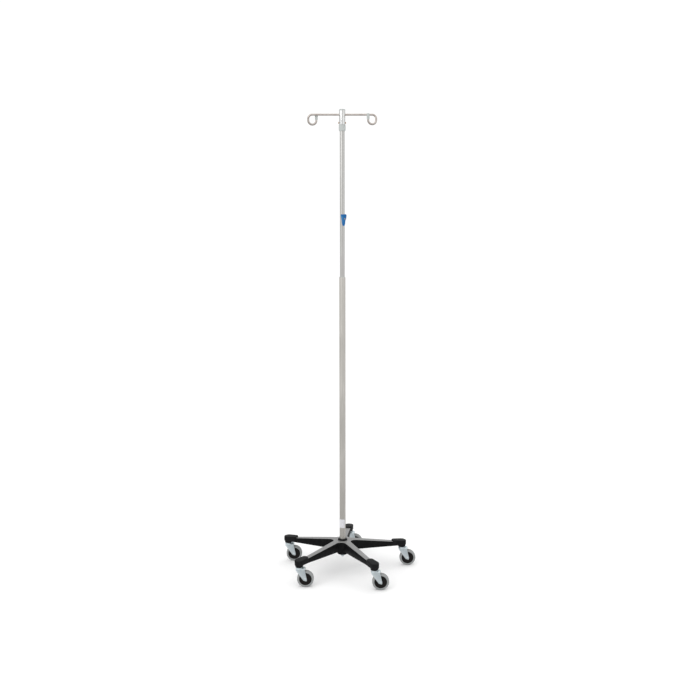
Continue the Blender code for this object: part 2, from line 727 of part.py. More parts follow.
def build_head(slide):
    """Collar, head tube, its cap and the cross pin that holds them."""
    edge = 0.0018
    collar_profile = [
        (COLLAR_RADIUS - edge / 2, COLLAR_TOP),
        (COLLAR_RADIUS, COLLAR_TOP - edge / 2),
        (COLLAR_RADIUS, COLLAR_BOTTOM + 2 * edge),
        (COLLAR_RADIUS - edge, COLLAR_BOTTOM),
        (INNER_RADIUS + GAP, COLLAR_BOTTOM),
        (INNER_RADIUS + GAP, SPIGOT_TOP),
        (HEAD_BORE - GAP, SPIGOT_TOP),
        (HEAD_BORE - GAP, COLLAR_TOP),
    ]
    collar_mesh = turned_mesh("pole_collar", collar_profile, closed=True)
    collar = add_part("pole_collar", collar_mesh, GREY_PLASTIC, slide)
    combine(collar, bpy.data.objects["cross_pin_hole"], "DIFFERENCE")

    head_mesh = tube_mesh("head_tube", HEAD_RADIUS, HEAD_BORE, COLLAR_TOP + GAP, HEAD_TOP)
    head = add_part("head_tube", head_mesh, POLISHED, slide)
    combine(head, bpy.data.objects["cross_pin_hole"], "DIFFERENCE")
    rod_hole = cross_rod_mesh("hook_rod_hole", ROD_RADIUS + 2 * GAP, LONG, "X")
    rod_hole.transform(Matrix.Translation((0.0, 0.0, BAR_HEIGHT)))
    combine(head, add_cutter("hook_rod_hole", rod_hole), "DIFFERENCE")

    cap_profile = turned_profile_solid(
        [
            (HEAD_RADIUS * 0.55, CAP_TOP),
            (HEAD_RADIUS - 0.0022, CAP_TOP - 0.0007),
            (HEAD_RADIUS - 0.0004, CAP_TOP - 0.0026),
            (HEAD_RADIUS, HEAD_TOP + GAP),
            (HEAD_BORE - GAP, HEAD_TOP + GAP),
            (HEAD_BORE - GAP, BAR_HEIGHT + ROD_RADIUS + 0.0032),
        ]
    )
    add_part("head_cap", turned_mesh("head_cap", cap_profile), GREY_PLASTIC, slide)

    seat = HEAD_RADIUS + GAP
    pin_profile = [
        (0.0, seat + 0.003),
        (CROSS_PIN_HEAD * 0.6, seat + 0.0025),
        (CROSS_PIN_HEAD, seat + 0.0008),
        (CROSS_PIN_HEAD, seat),
        (CROSS_PIN_RADIUS, seat),
        (CROSS_PIN_RADIUS, -seat),
        (CROSS_PIN_HEAD, -seat),
        (CROSS_PIN_HEAD, -seat - 0.0008),
        (CROSS_PIN_HEAD * 0.6, -seat - 0.0025),
        (0.0, -seat - 0.003),
    ]
    pin_mesh = turned_mesh("head_cross_pin", pin_profile, SMALL_STEPS)
    lay_along(pin_mesh, "X")
    pin = add_part("head_cross_pin", pin_mesh, BRASS, slide)
    pin.location = (0.0, 0.0, CROSS_PIN_HEIGHT)


def hook_path(side):
    """Centre line of one hook from the pole's axis to its tip.

    The rod bends down, round and up again, and moves sideways as it turns, so that
    its tip passes the bar: in front on the +X side, behind it on the -X side.
    """
    bend_x = HOOK_OUTER_X - HOOK_BEND
    low_z = BAR_HEIGHT - HOOK_BEND - HOOK_STRAIGHT
    quarter = arc((bend_x, BAR_HEIGHT - HOOK_BEND), HOOK_BEND, math.pi / 2, 0.0, HOOK_STEPS // 2)
    half = arc((bend_x, low_z), HOOK_BEND, 0.0, -math.pi, HOOK_STEPS)
    bent = quarter + half
    path = []
    for step, (x, z) in enumerate(bent):
        share = step / (len(bent) - 1)
        ease = share * share * (3 - 2 * share)
        path.append((side * x, -side * HOOK_OFFSET * ease, z))
    tip_x = side * (bend_x - HOOK_BEND)
    path.append((tip_x, -side * HOOK_OFFSET, BAR_HEIGHT + ROD_RADIUS - 2 * TIP_WALL))
    return path


def build_hooks(slide):
    """One bent rod through the head, with a soft sleeve on each tip."""
    left = hook_path(-1)
    left.reverse()
    rod = wire_mesh("hook_rod", left + hook_path(1), ROD_RADIUS, 10)
    add_part("hook_rod", rod, STEEL, slide)
    top = BAR_HEIGHT + ROD_RADIUS
    low = top - TIP_LENGTH
    bore = ROD_RADIUS + GAP
    profile = [
        (0.0, top),
        (TIP_RADIUS - 0.0025, top),
        (TIP_RADIUS, top - 0.002),
        (TIP_RADIUS, low + 0.008),
        (TIP_RADIUS - 0.0006, low),
        (bore, low),
        (bore, top - TIP_WALL),
        (0.0, top - TIP_WALL),
    ]
    mesh = turned_mesh("hook_tip", profile, TUBE_STEPS // 2)
    for name, side in (("left", -1), ("right", 1)):
        tip = add_part(f"hook_tip_{name}", mesh, GREY_PLASTIC, slide)
        tip.location = (side * (HOOK_OUTER_X - 2 * HOOK_BEND), -side * HOOK_OFFSET, 0.0)


def build_lever(slide):
    """The thumb lever, its pivot pin and the bracket inside the tube."""
    pivot = add_frame("lever_axis", (PIVOT_X, 0.0, PIVOT_HEIGHT), parent=slide)
    outline = [
        (-0.0160, 0.0195),
        (-0.0168, 0.0180),
        (-0.0104, -0.0250),
        (-0.0086, -0.0303),
        (-0.0048, -0.0320),
        (-0.0013, -0.0303),
        (0.0012, -0.0240),
        (0.0024, -0.0080),
        (0.0067, 0.0040),
        (0.0077, 0.0140),
        (0.0072, 0.0180),
        (0.0042, 0.0210),
    ]
    channel = [
        (-LONG, -LONG),
        (-0.0004, -LONG),
        (-0.0004, -0.0240),
        (0.0006, -0.0080),
        (0.0049, 0.0040),
        (0.0059, 0.0140),
        (0.0038, 0.0190),
        (0.0038, LONG),
        (-LONG, LONG),
    ]
    body_mesh = side_prism_mesh("release_lever", outline, LEVER_HALF_WIDTH)
    lever = add_part("release_lever", body_mesh, BLUE_PLASTIC, pivot)
    round_edges(lever, 0.001)
    tool = add_cutter("lever_channel", side_prism_mesh("lever_channel", channel, LEVER_GAP))
    tool.parent = pivot
    combine(lever, tool, "DIFFERENCE")
    finger_low = (-0.0126, -FINGER_HALF_WIDTH, -FINGER_HALF_HEIGHT)
    finger_high = (0.0062, FINGER_HALF_WIDTH, FINGER_HALF_HEIGHT)
    finger = add_cutter("lever_finger", box_mesh("lever_finger", finger_low, finger_high))
    finger.parent = pivot
    combine(lever, finger, "UNION")
    hole = add_cutter("lever_hole", cross_rod_mesh("lever_hole", PIVOT_RADIUS + GAP, LONG, "Y"))
    hole.parent = pivot
    combine(lever, hole, "DIFFERENCE")

    seat = LEVER_HALF_WIDTH + GAP
    head = 0.0028
    profile = [
        (0.0, seat + 0.0012),
        (head * 0.6, seat + 0.0010),
        (head, seat),
        (PIVOT_RADIUS, seat),
        (PIVOT_RADIUS, -seat),
        (head, -seat),
        (head * 0.6, -seat - 0.0010),
        (0.0, -seat - 0.0012),
    ]
    pin_mesh = turned_mesh("lever_pivot_pin", profile, SMALL_STEPS)
    lay_along(pin_mesh, "Y")
    pin = add_part("lever_pivot_pin", pin_mesh, ZINC, slide)
    pin.location = (PIVOT_X, 0.0, PIVOT_HEIGHT)

    block = rod_mesh("lever_bracket", INNER_BORE - GAP, -0.020, 0.020, WHEEL_STEPS)
    bracket = add_part("lever_bracket", block, ZINC, slide)
    bracket.location = (0.0, 0.0, PIVOT_HEIGHT)
    slot_half = FINGER_HALF_WIDTH + 2 * GAP
    slot_mesh = box_mesh("bracket_slot", (-0.004, -slot_half, -LONG), (LONG, slot_half, LONG))
    slot = add_cutter("bracket_slot", slot_mesh)
    slot.location = bracket.location
    combine(bracket, slot, "DIFFERENCE")
    for side in (-1, 1):
        near = side * (slot_half + 0.0002)
        far = side * (slot_half + 0.0020)
        low = (0.004, min(near, far), -PIVOT_RADIUS - 0.0011)
        high = (PIVOT_X + 0.0022, max(near, far), 0.004)
        ear = add_cutter("bracket_ear", box_mesh("bracket_ear", low, high))
        ear.location = bracket.location
        combine(bracket, ear, "UNION")
    hole_mesh = cross_rod_mesh("bracket_hole", PIVOT_RADIUS + GAP, LONG, "Y")
    bracket_hole = add_cutter("bracket_hole", hole_mesh)
    bracket_hole.location = (PIVOT_X, 0.0, PIVOT_HEIGHT)
    combine(bracket, bracket_hole, "DIFFERENCE")


def build_lock(slide):
    """The rod below the lever, and the cone and split sleeve of the lock."""
    rod_top = PIVOT_HEIGHT - FINGER_HALF_HEIGHT - FINGER_DIP - GAP
    cone_low = 0.9035
    cone_high = 0.9395
    profile = turned_profile_solid(
        [
            (PULL_ROD_RADIUS * 0.5, rod_top),
            (PULL_ROD_RADIUS, rod_top - 0.0008),
            (PULL_ROD_RADIUS, ROD_COLLAR_HEIGHT + 0.004),
            (ROD_COLLAR_RADIUS, ROD_COLLAR_HEIGHT + 0.004),
            (ROD_COLLAR_RADIUS, ROD_COLLAR_HEIGHT),
            (PULL_ROD_RADIUS, ROD_COLLAR_HEIGHT),
            (PULL_ROD_RADIUS, cone_low - 0.004),
        ]
    )
    add_part("pull_rod", turned_mesh("pull_rod", profile, SMALL_STEPS), ZINC, slide)
    cone = [
        (0.0070, cone_high),
        (0.0098, cone_low),
        (PULL_ROD_RADIUS + GAP, cone_low),
        (PULL_ROD_RADIUS + GAP, cone_high),
    ]
    add_part("lock_cone", turned_mesh("lock_cone", cone, WHEEL_STEPS, closed=True), ZINC, slide)

    sleeve_high = INNER_BOTTOM - 0.0042
    sleeve_profile = [
        (OUTER_BORE - GAP, sleeve_high),
        (OUTER_BORE - GAP, sleeve_high - 0.036),
        (0.0100, sleeve_high - 0.036),
        (0.0068, sleeve_high),
    ]
    sleeve_mesh = turned_mesh("lock_sleeve", sleeve_profile, WHEEL_STEPS, closed=True)
    sleeve = add_part("lock_sleeve", sleeve_mesh, GREY_PLASTIC, slide)
    slit_low = (0.0, -0.001, sleeve_high - LONG)
    slit_high = (LONG, 0.001, sleeve_high + LONG)
    slit = add_cutter("sleeve_slit", box_mesh("sleeve_slit", slit_low, slit_high))
    combine(sleeve, slit, "DIFFERENCE")

    plug = [
        (INNER_BORE - GAP, LOCK_TOP),
        (INNER_BORE - GAP, INNER_BOTTOM - GAP),
        (INNER_RADIUS, INNER_BOTTOM - GAP),
        (INNER_RADIUS, sleeve_high + GAP),
        (PULL_ROD_RADIUS + GAP, sleeve_high + GAP),
        (PULL_ROD_RADIUS + GAP, LOCK_TOP),
    ]
    add_part("lock_plug", turned_mesh("lock_plug", plug, WHEEL_STEPS, closed=True), ZINC, slide)

    low = LOCK_TOP + SPRING_WIRE + GAP
    high = ROD_COLLAR_HEIGHT - SPRING_WIRE - GAP
    count = SPRING_TURNS * SPRING_POINTS_A_TURN
    points = []
    for step in range(count + 1):
        angle = math.tau * step / SPRING_POINTS_A_TURN
        height = low + (high - low) * step / count
        points.append((SPRING_RADIUS * math.cos(angle), SPRING_RADIUS * math.sin(angle), height))
    add_part("lock_spring", wire_mesh("lock_spring", points, SPRING_WIRE, 6), STEEL, slide)


clear_scene()
PARTS = new_collection("iv_pole")
CUTTERS = new_collection("cutters")
BLACK_PAINT = make_material("black_paint", (0.018, 0.018, 0.018), 0.55, 0.0)
BLACK_PLASTIC = make_material("black_plastic", (0.016, 0.016, 0.016), 0.5, 0.0)
SATIN_METAL = make_material("satin_metal", (0.33, 0.33, 0.33), 0.45, 1.0)
STEEL = make_material("brushed_steel", (0.52, 0.51, 0.49), 0.3, 1.0)
POLISHED = make_material("polished_steel", (0.68, 0.68, 0.68), 0.15, 1.0)
ZINC = make_material("zinc_plate", (0.52, 0.56, 0.57), 0.35, 1.0)
BRASS = make_material("brass", (0.55, 0.38, 0.22), 0.3, 1.0)
GREY_PLASTIC = make_material("grey_plastic", (0.52, 0.55, 0.54), 0.5, 0.0)
GREY_RUBBER = make_material("grey_rubber", (0.32, 0.33, 0.33), 0.6, 0.0)
BLUE_PLASTIC = make_material("blue_plastic", (0.023, 0.16, 0.45), 0.35, 0.0)
LABEL_WHITE = make_material("label_white", (0.72, 0.72, 0.74), 0.4, 0.0)

build_base_casting()
build_star_inlay()
build_casters()
build_hub_fittings()
build_outer_tube()
POLE_AXIS = add_frame("pole_axis", (0.0, 0.0, 0.0))
build_inner_tube(POLE_AXIS)
build_head(POLE_AXIS)
build_hooks(POLE_AXIS)
build_lever(POLE_AXIS)
build_lock(POLE_AXIS)
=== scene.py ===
import math

import bmesh
import bpy
from mathutils import Matrix, Vector


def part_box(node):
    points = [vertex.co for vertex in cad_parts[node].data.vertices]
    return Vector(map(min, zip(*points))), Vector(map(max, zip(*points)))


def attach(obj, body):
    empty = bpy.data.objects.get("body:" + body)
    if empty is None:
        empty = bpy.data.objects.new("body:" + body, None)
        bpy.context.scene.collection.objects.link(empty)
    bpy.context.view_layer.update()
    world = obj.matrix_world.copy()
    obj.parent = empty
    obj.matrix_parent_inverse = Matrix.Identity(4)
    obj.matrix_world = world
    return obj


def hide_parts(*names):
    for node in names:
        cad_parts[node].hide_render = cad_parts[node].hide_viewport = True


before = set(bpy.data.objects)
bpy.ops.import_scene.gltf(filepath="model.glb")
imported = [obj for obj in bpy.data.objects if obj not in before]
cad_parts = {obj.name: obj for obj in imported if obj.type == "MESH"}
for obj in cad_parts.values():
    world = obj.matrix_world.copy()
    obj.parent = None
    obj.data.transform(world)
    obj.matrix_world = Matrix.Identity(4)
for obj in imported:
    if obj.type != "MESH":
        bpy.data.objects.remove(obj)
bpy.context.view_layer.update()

LEGS = ("right", "back", "left", "front_left", "front_right")
FIRST_LEG = math.radians(11.4)
LEG_STEP = math.tau / len(LEGS)
HALF_TURN = math.pi / 2

# Star
HUB_TOP = 0.146
HUB_FLAT_RADIUS = 0.055
HUB_BLEND = 0.008
TOP_SLOPE = math.tan(math.radians(7.2))
LEG_BOTTOM = 0.100
LEG_END_RADIUS = 0.262
LEG_ROOT_HALF_WIDTH = 0.0169
LEG_TAPER = 0.0242
LEG_WALL = 0.004
CROTCH_FILLET = 0.025
CROTCH_STEPS = 22
INLAY_THICKNESS = 0.0012
INLAY_BORDER = 0.0008
INLAY_END_RADIUS = 0.250
POCKET_START = 0.050
POCKET_END = 0.205
POCKET_DRAFT = 0.0012
HUB_RADIUS = 0.0252
HUB_BOTTOM = 0.0775
HUB_BORE = 0.0181
HUB_BORE_FLOOR = 0.1155
STUD_HOLE_RADIUS = 0.0056
THREAD_BOTTOM = 0.0667

# Leg-end caps
STEM_CIRCLE_RADIUS = 0.290
CAP_NOSE_TOP = 0.1289
CAP_SLOPE = math.tan(math.radians(4.4))
CAP_BOTTOM = 0.102
CAP_NOSE = (0.2525, 0.0125, 0.0172)
CAP_END_RADIUS = 0.021
CAP_TOP_EDGE = 0.0030
BOSS_RADIUS = 0.0196
BOSS_FOOT_RADIUS = 0.0172
BOSS_BOTTOM = 0.0915
BOSS_TOP = 0.1075
SOCKET_RADIUS = 0.0061
SOCKET_TOP = 0.1115
GROOVE_RADIUS = 0.0007
GROOVE_SETBACK = 0.0095

# Casters
TRAIL = 0.028
WHEEL_RADIUS = 0.038
TYRE_HALF_WIDTH = 0.012
HUB_DISC_RADIUS = 0.0285
FORK_OUTSIDE = 0.0162
FORK_PLATE = 0.002
AXLE_HOLE_RADIUS = 0.0033
CROWN_TOP = 0.0893
CROWN_CEILING = 0.0832
RACE_RADIUS = 0.0152
RACE_TOP = 0.0912
KNOB_X = 0.0205

# Pole, head and hooks
LARGE_TUBE_WALL = 0.0015
SMALL_TUBE_BORE = 0.0099
LABEL_START = math.radians(160.0)
LABEL_END = math.radians(314.0)
LABEL_CORNER = 0.003
CROSS_PIN_HOLE_RADIUS = 0.0028
ROD_HOLE_RADIUS = 0.0053
BAR_HEIGHT = 2.1125
ROD_RADIUS = 0.00475
HOOK_OUTER_X = 0.1518
HOOK_BEND = 0.018
HOOK_STRAIGHT = 0.0066
HOOK_OFFSET = 0.01175
CROSS_PIN_HEIGHT = 2.0765

# Lever
PIVOT_X = 0.0118
PIVOT_HEIGHT = 1.6515
LEVER_HALF_WIDTH = 0.0132
LEVER_GAP = 0.0116
LEVER_HOLE_RADIUS = 0.0018
SLOT_HALF_WIDTH = 0.0052
SLOT_HALF_HEIGHT = 0.010

# Camera and light
CAMERA_PLACE = (0.0, -4.18, 1.595)
CAMERA_LENS = 46.95
CAMERA_DOWN = 7.4
CAMERA_TURN = -0.48
FLOOR_RADIUS = 60.0
SKY_TO_CAMERA = 1.05
SKY_LOW = (-0.5, 0.58)
SKY_HIGH = (0.15, 0.82)

GAP = 0.0003  # running clearance between neighbouring pieces
BEYOND = 0.1  # far past any surface, for tools that cut right through


# Shapes


def softened(points, closed=False, steps=5):
    """Round the corners of an outline of (x, y, radius) points."""
    rounded = []
    for index, (x, y, radius) in enumerate(points):
        inside = closed or 0 < index < len(points) - 1
        if not inside or radius == 0.0:
            rounded.append((x, y))
            continue
        corner = Vector((x, y))
        before = Vector(points[index - 1][:2]) - corner
        after = Vector(points[(index + 1) % len(points)][:2]) - corner
        half_angle = before.angle(after) / 2
        reach = min(radius / math.tan(half_angle), 0.49 * before.length, 0.49 * after.length)
        start = before.normalized() * reach
        end = after.normalized() * reach
        centre = (start + end) / (2 * math.cos(half_angle) ** 2)
        bow = reach * math.tan(half_angle)
        for step in range(steps + 1):
            spoke = (start - centre).lerp(end - centre, step / steps).normalized()
            rounded.append(tuple(corner + centre + spoke * bow))
    return rounded


def arc(centre, radius, start, end, steps):
    return [
        (
            centre[0] + radius * math.cos(start + (end - start) * step / steps),
            centre[1] + radius * math.sin(start + (end - start) * step / steps),
        )
        for step in range(steps + 1)
    ]


def meshed(name, shape, sharp=38.0):
    """Turn an edited shape into a mesh with outward normals and smooth shading."""
    bmesh.ops.remove_doubles(shape, verts=shape.verts, dist=0.000001)
    bmesh.ops.recalc_face_normals(shape, faces=shape.faces)
    mesh = bpy.data.meshes.new(name)
    shape.to_mesh(mesh)
    shape.free()
    mesh.shade_smooth()
    mesh.set_sharp_from_angle(angle=math.radians(sharp))
    return mesh


def skinned(name, rings, loop=False, caps=False, sharp=38.0):
    """Skin a list of rings of points; a ring of one point is a pole."""
    shape = bmesh.new()
    rows = [[shape.verts.new(point) for point in ring] for ring in rings]
    pairs = list(zip(rows, rows[1:]))
    if loop:
        pairs.append((rows[-1], rows[0]))
    for upper, lower in pairs:
        count = max(len(upper), len(lower))
        for step in range(count):
            corners = []
            for row, place in ((upper, step), (upper, step + 1), (lower, step + 1), (lower, step)):
                vertex = row[place % len(row)]
                if vertex not in corners:
                    corners.append(vertex)
            if len(corners) > 2:
                shape.faces.new(corners)
    if caps:
        shape.faces.new(rows[0])
        shape.faces.new(rows[-1])
    return meshed(name, shape, sharp)


def turned(name, profile, steps=72, loop=False):
    """Turn a profile of (radius, height) points about Z."""
    rings = []
    for radius, height in profile:
        if radius < 0.000001:
            rings.append([(0.0, 0.0, height)])
            continue
        circle = arc((0.0, 0.0), radius, 0.0, math.tau, steps)[:-1]
        rings.append([(x, y, height) for x, y in circle])
    return skinned(name, rings, loop)


def laid_along(mesh, axis):
    """Turn a mesh made about Z so that its axis lies along X or Y."""
    about = {"X": "Y", "Y": "X"}[axis]
    mesh.transform(Matrix.Rotation(HALF_TURN, 4, about))
    return mesh


def round_bar(name, radius, low, high, steps, axis="Z"):
    """A plain round bar along an axis, made to cut a hole."""
    profile = [(0.0, low), (radius, low), (radius, high), (0.0, high)]
    bar = turned(name, profile, steps)
    return bar if axis == "Z" else laid_along(bar, axis)


def mirrored(profile, shared=0):
    """A profile and its mirror image below height 0, which leaves out its shared points."""
    return profile + [(radius, -height) for radius, height in reversed(profile[shared:])]


def slab(name, outline, low, high):
    """A flat outline of (x, y) points with straight sides."""
    rings = [[(x, y, height) for x, y in outline] for height in (low, high)]
    return skinned(name, rings, caps=True)


def side_slab(name, outline, half_width):
    """An outline of (x, z) points, extruded evenly to both sides along Y."""
    mesh = slab(name, outline, -half_width, half_width)
    mesh.transform(Matrix.Rotation(HALF_TURN, 4, "X"))
    return mesh


def block(name, low, high):
    outline = [(low[0], low[1]), (high[0], low[1]), (high[0], high[1]), (low[0], high[1])]
    return slab(name, outline, low[2], high[2])


def moved(mesh, x=0.0, y=0.0, z=0.0):
    mesh.transform(Matrix.Translation((x, y, z)))
    return mesh


def placed_object(name, mesh, place=None):
    made = bpy.data.objects.new(name, mesh)
    bpy.context.scene.collection.objects.link(made)
    if place is not None:
        made.matrix_world = place
    return made


def carved(mesh, tools, edge=0.0, segments=2, sharp=38.0):
    """Apply Boolean tools, a list of (operation, mesh), then round the edges."""
    piece = placed_object(mesh.name, mesh)
    helpers = [piece]
    for operation, tool_mesh in tools:
        tool = placed_object("tool", tool_mesh)
        helpers.append(tool)
        modifier = piece.modifiers.new("shape", "BOOLEAN")
        modifier.operation = operation
        modifier.solver = "EXACT"
        modifier.object = tool
    if edge:
        modifier = piece.modifiers.new("edges", "BEVEL")
        modifier.width = edge
        modifier.segments = segments
        modifier.limit_method = "ANGLE"
        modifier.angle_limit = math.radians(35.0)
        modifier.harden_normals = True
    bpy.context.view_layer.update()
    shaped = piece.evaluated_get(bpy.context.evaluated_depsgraph_get())
    result = bpy.data.meshes.new_from_object(shaped)
    result.name = mesh.name
    result.materials.clear()
    for helper in helpers:
        bpy.data.objects.remove(helper, do_unlink=True)
    result.shade_smooth()
    result.set_sharp_from_angle(angle=math.radians(sharp))
    return result


def swept(name, path, radius, sides=28):
    """A round bar along a path, with softly rounded ends."""
    points = [Vector(point) for point in path]
    start = (points[0] - points[1]).normalized()
    end = (points[-1] - points[-2]).normalized()
    edge = radius * 0.25
    stations = [(points[0], radius - edge), (points[0] - start * edge, radius)]
    stations += [(point, radius) for point in points[1:-1]]
    stations += [(points[-1] - end * edge, radius), (points[-1], radius - edge)]
    across = start.orthogonal().normalized()
    rings = [[tuple(stations[0][0])]]
    for index, (point, size) in enumerate(stations):
        after = stations[min(index + 1, len(stations) - 1)][0]
        before = stations[max(index - 1, 0)][0]
        along = (after - before).normalized()
        across = (across - along * across.dot(along)).normalized()
        other = along.cross(across)
        ring = []
        for step in range(sides):
            angle = math.tau * step / sides
            ring.append(tuple(point + (across * math.cos(angle) + other * math.sin(angle)) * size))
        rings.append(ring)
    rings.append([tuple(stations[-1][0])])
    return skinned(name, rings)


# Materials


class Finish:
    """A procedural material in the making: a shader and a few mapped textures."""

    def __init__(self, name, roughness, metallic=0.0, specular=0.5):
        self.material = bpy.data.materials.new(name)
        self.material.use_nodes = True
        self.tree = self.material.node_tree
        self.shader = self.tree.nodes["Principled BSDF"]
        self.shader.inputs["Roughness"].default_value = roughness
        self.shader.inputs["Metallic"].default_value = metallic
        self.shader.inputs["Specular IOR Level"].default_value = specular
        self.place = self.node("ShaderNodeTexCoord").outputs["Object"]
        self.slopes = []

    def node(self, kind, **settings):
        made = self.tree.nodes.new(kind)
        for key, value in settings.items():
            setattr(made, key, value)
        return made

    def link(self, source, target):
        self.tree.links.new(source, target)

    def noise(self, scale, stretch=(1.0, 1.0, 1.0), detail=4.0, distortion=0.0):
        """Grey noise; scale is in cycles per metre, and stretch multiplies it by axis."""
        mapping = self.node("ShaderNodeMapping")
        mapping.inputs["Scale"].default_value = stretch
        self.link(self.place, mapping.inputs["Vector"])
        texture = self.node("ShaderNodeTexNoise")
        texture.inputs["Scale"].default_value = scale
        texture.inputs["Detail"].default_value = detail
        texture.inputs["Distortion"].default_value = distortion
        self.link(mapping.outputs["Vector"], texture.inputs["Vector"])
        return texture.outputs["Fac"]

    def cells(self, scale):
        texture = self.node("ShaderNodeTexVoronoi")
        texture.inputs["Scale"].default_value = scale
        self.link(self.place, texture.inputs["Vector"])
        separate = self.node("ShaderNodeSeparateColor")
        self.link(texture.outputs["Color"], separate.inputs["Color"])
        return separate.outputs["Red"]

    def span(self, source, low, high, to_low=0.0, to_high=1.0):
        """Map a source between low and high onto a new range, clamped."""
        mapped = self.node("ShaderNodeMapRange")
        mapped.inputs["From Min"].default_value = low
        mapped.inputs["From Max"].default_value = high
        mapped.inputs["To Min"].default_value = to_low
        mapped.inputs["To Max"].default_value = to_high
        self.link(source, mapped.inputs["Value"])
        return mapped.outputs["Result"]

    def maths(self, operation, first, second):
        made = self.node("ShaderNodeMath", operation=operation)
        for socket, value in zip(made.inputs, (first, second)):
            if isinstance(value, float):
                socket.default_value = value
            else:
                self.link(value, socket)
        return made.outputs["Value"]

    def blend(self, share, first, second):
        """Mix two colours, each a tuple or a node's output."""
        made = self.node("ShaderNodeMix", data_type="RGBA")
        self.link(share, made.inputs["Factor"])
        for socket, value in ((made.inputs[6], first), (made.inputs[7], second)):
            if isinstance(value, tuple):
                socket.default_value = (*value, 1.0)
            else:
                self.link(value, socket)
        return made.outputs[2]

    def edges(self, low=0.53, high=0.62):
        """Bright on worn outer edges."""
        return self.span(self.node("ShaderNodeNewGeometry").outputs["Pointiness"], low, high)

    def radius_about_y(self):
        """Distance from the object's Y axis."""
        separate = self.node("ShaderNodeSeparateXYZ")
        self.link(self.place, separate.inputs["Vector"])
        across = self.maths("MULTIPLY", separate.outputs["X"], separate.outputs["X"])
        up = self.maths("MULTIPLY", separate.outputs["Z"], separate.outputs["Z"])
        return self.maths("SQRT", self.maths("ADD", across, up), 0.0)

    def colour(self, source):
        self.link(source, self.shader.inputs["Base Color"])

    def roughness(self, source, low, high):
        self.link(self.span(source, 0.3, 0.7, low, high), self.shader.inputs["Roughness"])

    def relief(self, source, distance, strength=1.0):
        """Add a layer of bump, distance in metres."""
        bump = self.node("ShaderNodeBump")
        bump.inputs["Distance"].default_value = distance
        bump.inputs["Strength"].default_value = strength
        self.link(source, bump.inputs["Height"])
        if self.slopes:
            self.link(self.slopes[-1], bump.inputs["Normal"])
        self.slopes.append(bump.outputs["Normal"])
        self.link(bump.outputs["Normal"], self.shader.inputs["Normal"])


def srgb(red, green, blue):
    """Linear colour from display values of 0 to 255."""

    def linear(value):
        value /= 255
        return value / 12.92 if value <= 0.04045 else ((value + 0.055) / 1.055) ** 2.4

    return (linear(red), linear(green), linear(blue))


def tube_steel(name, light, dark, low, high):
    """Drawn and polished tube: long fine lines, faint smears and a few rubbed patches."""
    made = Finish(name, 0.3, 1.0)
    lines = made.noise(900.0, (1.0, 1.0, 0.012), 5.0)
    smears = made.noise(22.0, (1.0, 1.0, 0.18), 4.0, 0.6)
    rubbed = made.span(smears, 0.42, 0.62)
    made.colour(made.blend(rubbed, dark, made.blend(made.span(lines, 0.35, 0.65), dark, light)))
    scored = made.maths("MULTIPLY", lines, 0.6)
    worn = made.maths("ADD", scored, made.maths("MULTIPLY", smears, 0.4))
    made.roughness(worn, low, high)
    made.relief(lines, 0.00002, 0.35)
    return made.material


def polished_metal(name, light, dark, low, high):
    """Bright plated metal with hairline scratches and a slight haze."""
    made = Finish(name, 0.15, 1.0)
    haze = made.noise(60.0, (1.0, 1.0, 1.0), 5.0, 0.4)
    scratches = made.noise(1400.0, (0.05, 1.0, 0.3), 3.0)
    made.colour(made.blend(made.span(haze, 0.35, 0.65), dark, light))
    made.roughness(haze, low, high)
    made.relief(scratches, 0.000004, 0.2)
    return made.material


def zinc_plate():
    """Bluish plated sheet steel, with soft spangle and rubbed edges."""
    made = Finish("zinc_plate", 0.35, 1.0)
    spangle = made.cells(420.0)
    cloud = made.noise(90.0, detail=5.0, distortion=0.5)
    tint = made.blend(spangle, srgb(212, 223, 225), srgb(224, 234, 236))
    tint = made.blend(made.span(cloud, 0.35, 0.7), tint, srgb(208, 218, 224))
    made.colour(made.blend(made.edges(), tint, srgb(238, 241, 242)))
    made.roughness(cloud, 0.28, 0.46)
    made.relief(made.noise(2200.0, detail=3.0), 0.00003, 0.4)
    return made.material


def satin_plate():
    """Bead-blasted plate: fine grain, a dull and uneven sheen, and brighter edges."""
    made = Finish("satin_plate", 0.45, 1.0)
    grain = made.noise(2600.0, detail=2.0)
    cloud = made.noise(26.0, detail=5.0, distortion=0.4)
    tint = made.blend(made.span(cloud, 0.35, 0.65), srgb(157, 157, 157), srgb(164, 164, 164))
    made.colour(made.blend(made.edges(), tint, srgb(214, 214, 212)))
    made.roughness(cloud, 0.42, 0.56)
    made.relief(grain, 0.00004, 0.5)
    return made.material


def powder_coat():
    """Black powder coat with orange peel and patches of dust."""
    made = Finish("powder_coat", 0.5, 0.0, 0.08)
    dust = made.noise(70.0, detail=6.0, distortion=0.3)
    made.colour(made.blend(made.span(dust, 0.45, 0.75), srgb(17, 17, 18), srgb(26, 26, 27)))
    made.roughness(dust, 0.42, 0.6)
    made.relief(made.noise(750.0, detail=2.0), 0.00010, 0.35)
    made.relief(made.noise(2400.0, detail=2.0), 0.00003, 0.3)
    return made.material


def moulded_plastic(name, dark, light, edge, low, high, specular, grain=0.00005):
    """Moulded plastic: spark-eroded grain, faint flow marks and paler rubbed edges."""
    made = Finish(name, 0.5, 0.0, specular)
    flow = made.noise(45.0, (1.0, 1.0, 0.5), 5.0, 0.8)
    tint = made.blend(made.span(flow, 0.35, 0.7), dark, light)
    made.colour(made.blend(made.edges(), tint, edge))
    made.roughness(flow, low, high)
    made.relief(made.noise(1900.0, detail=2.0), grain, 0.4)
    return made.material


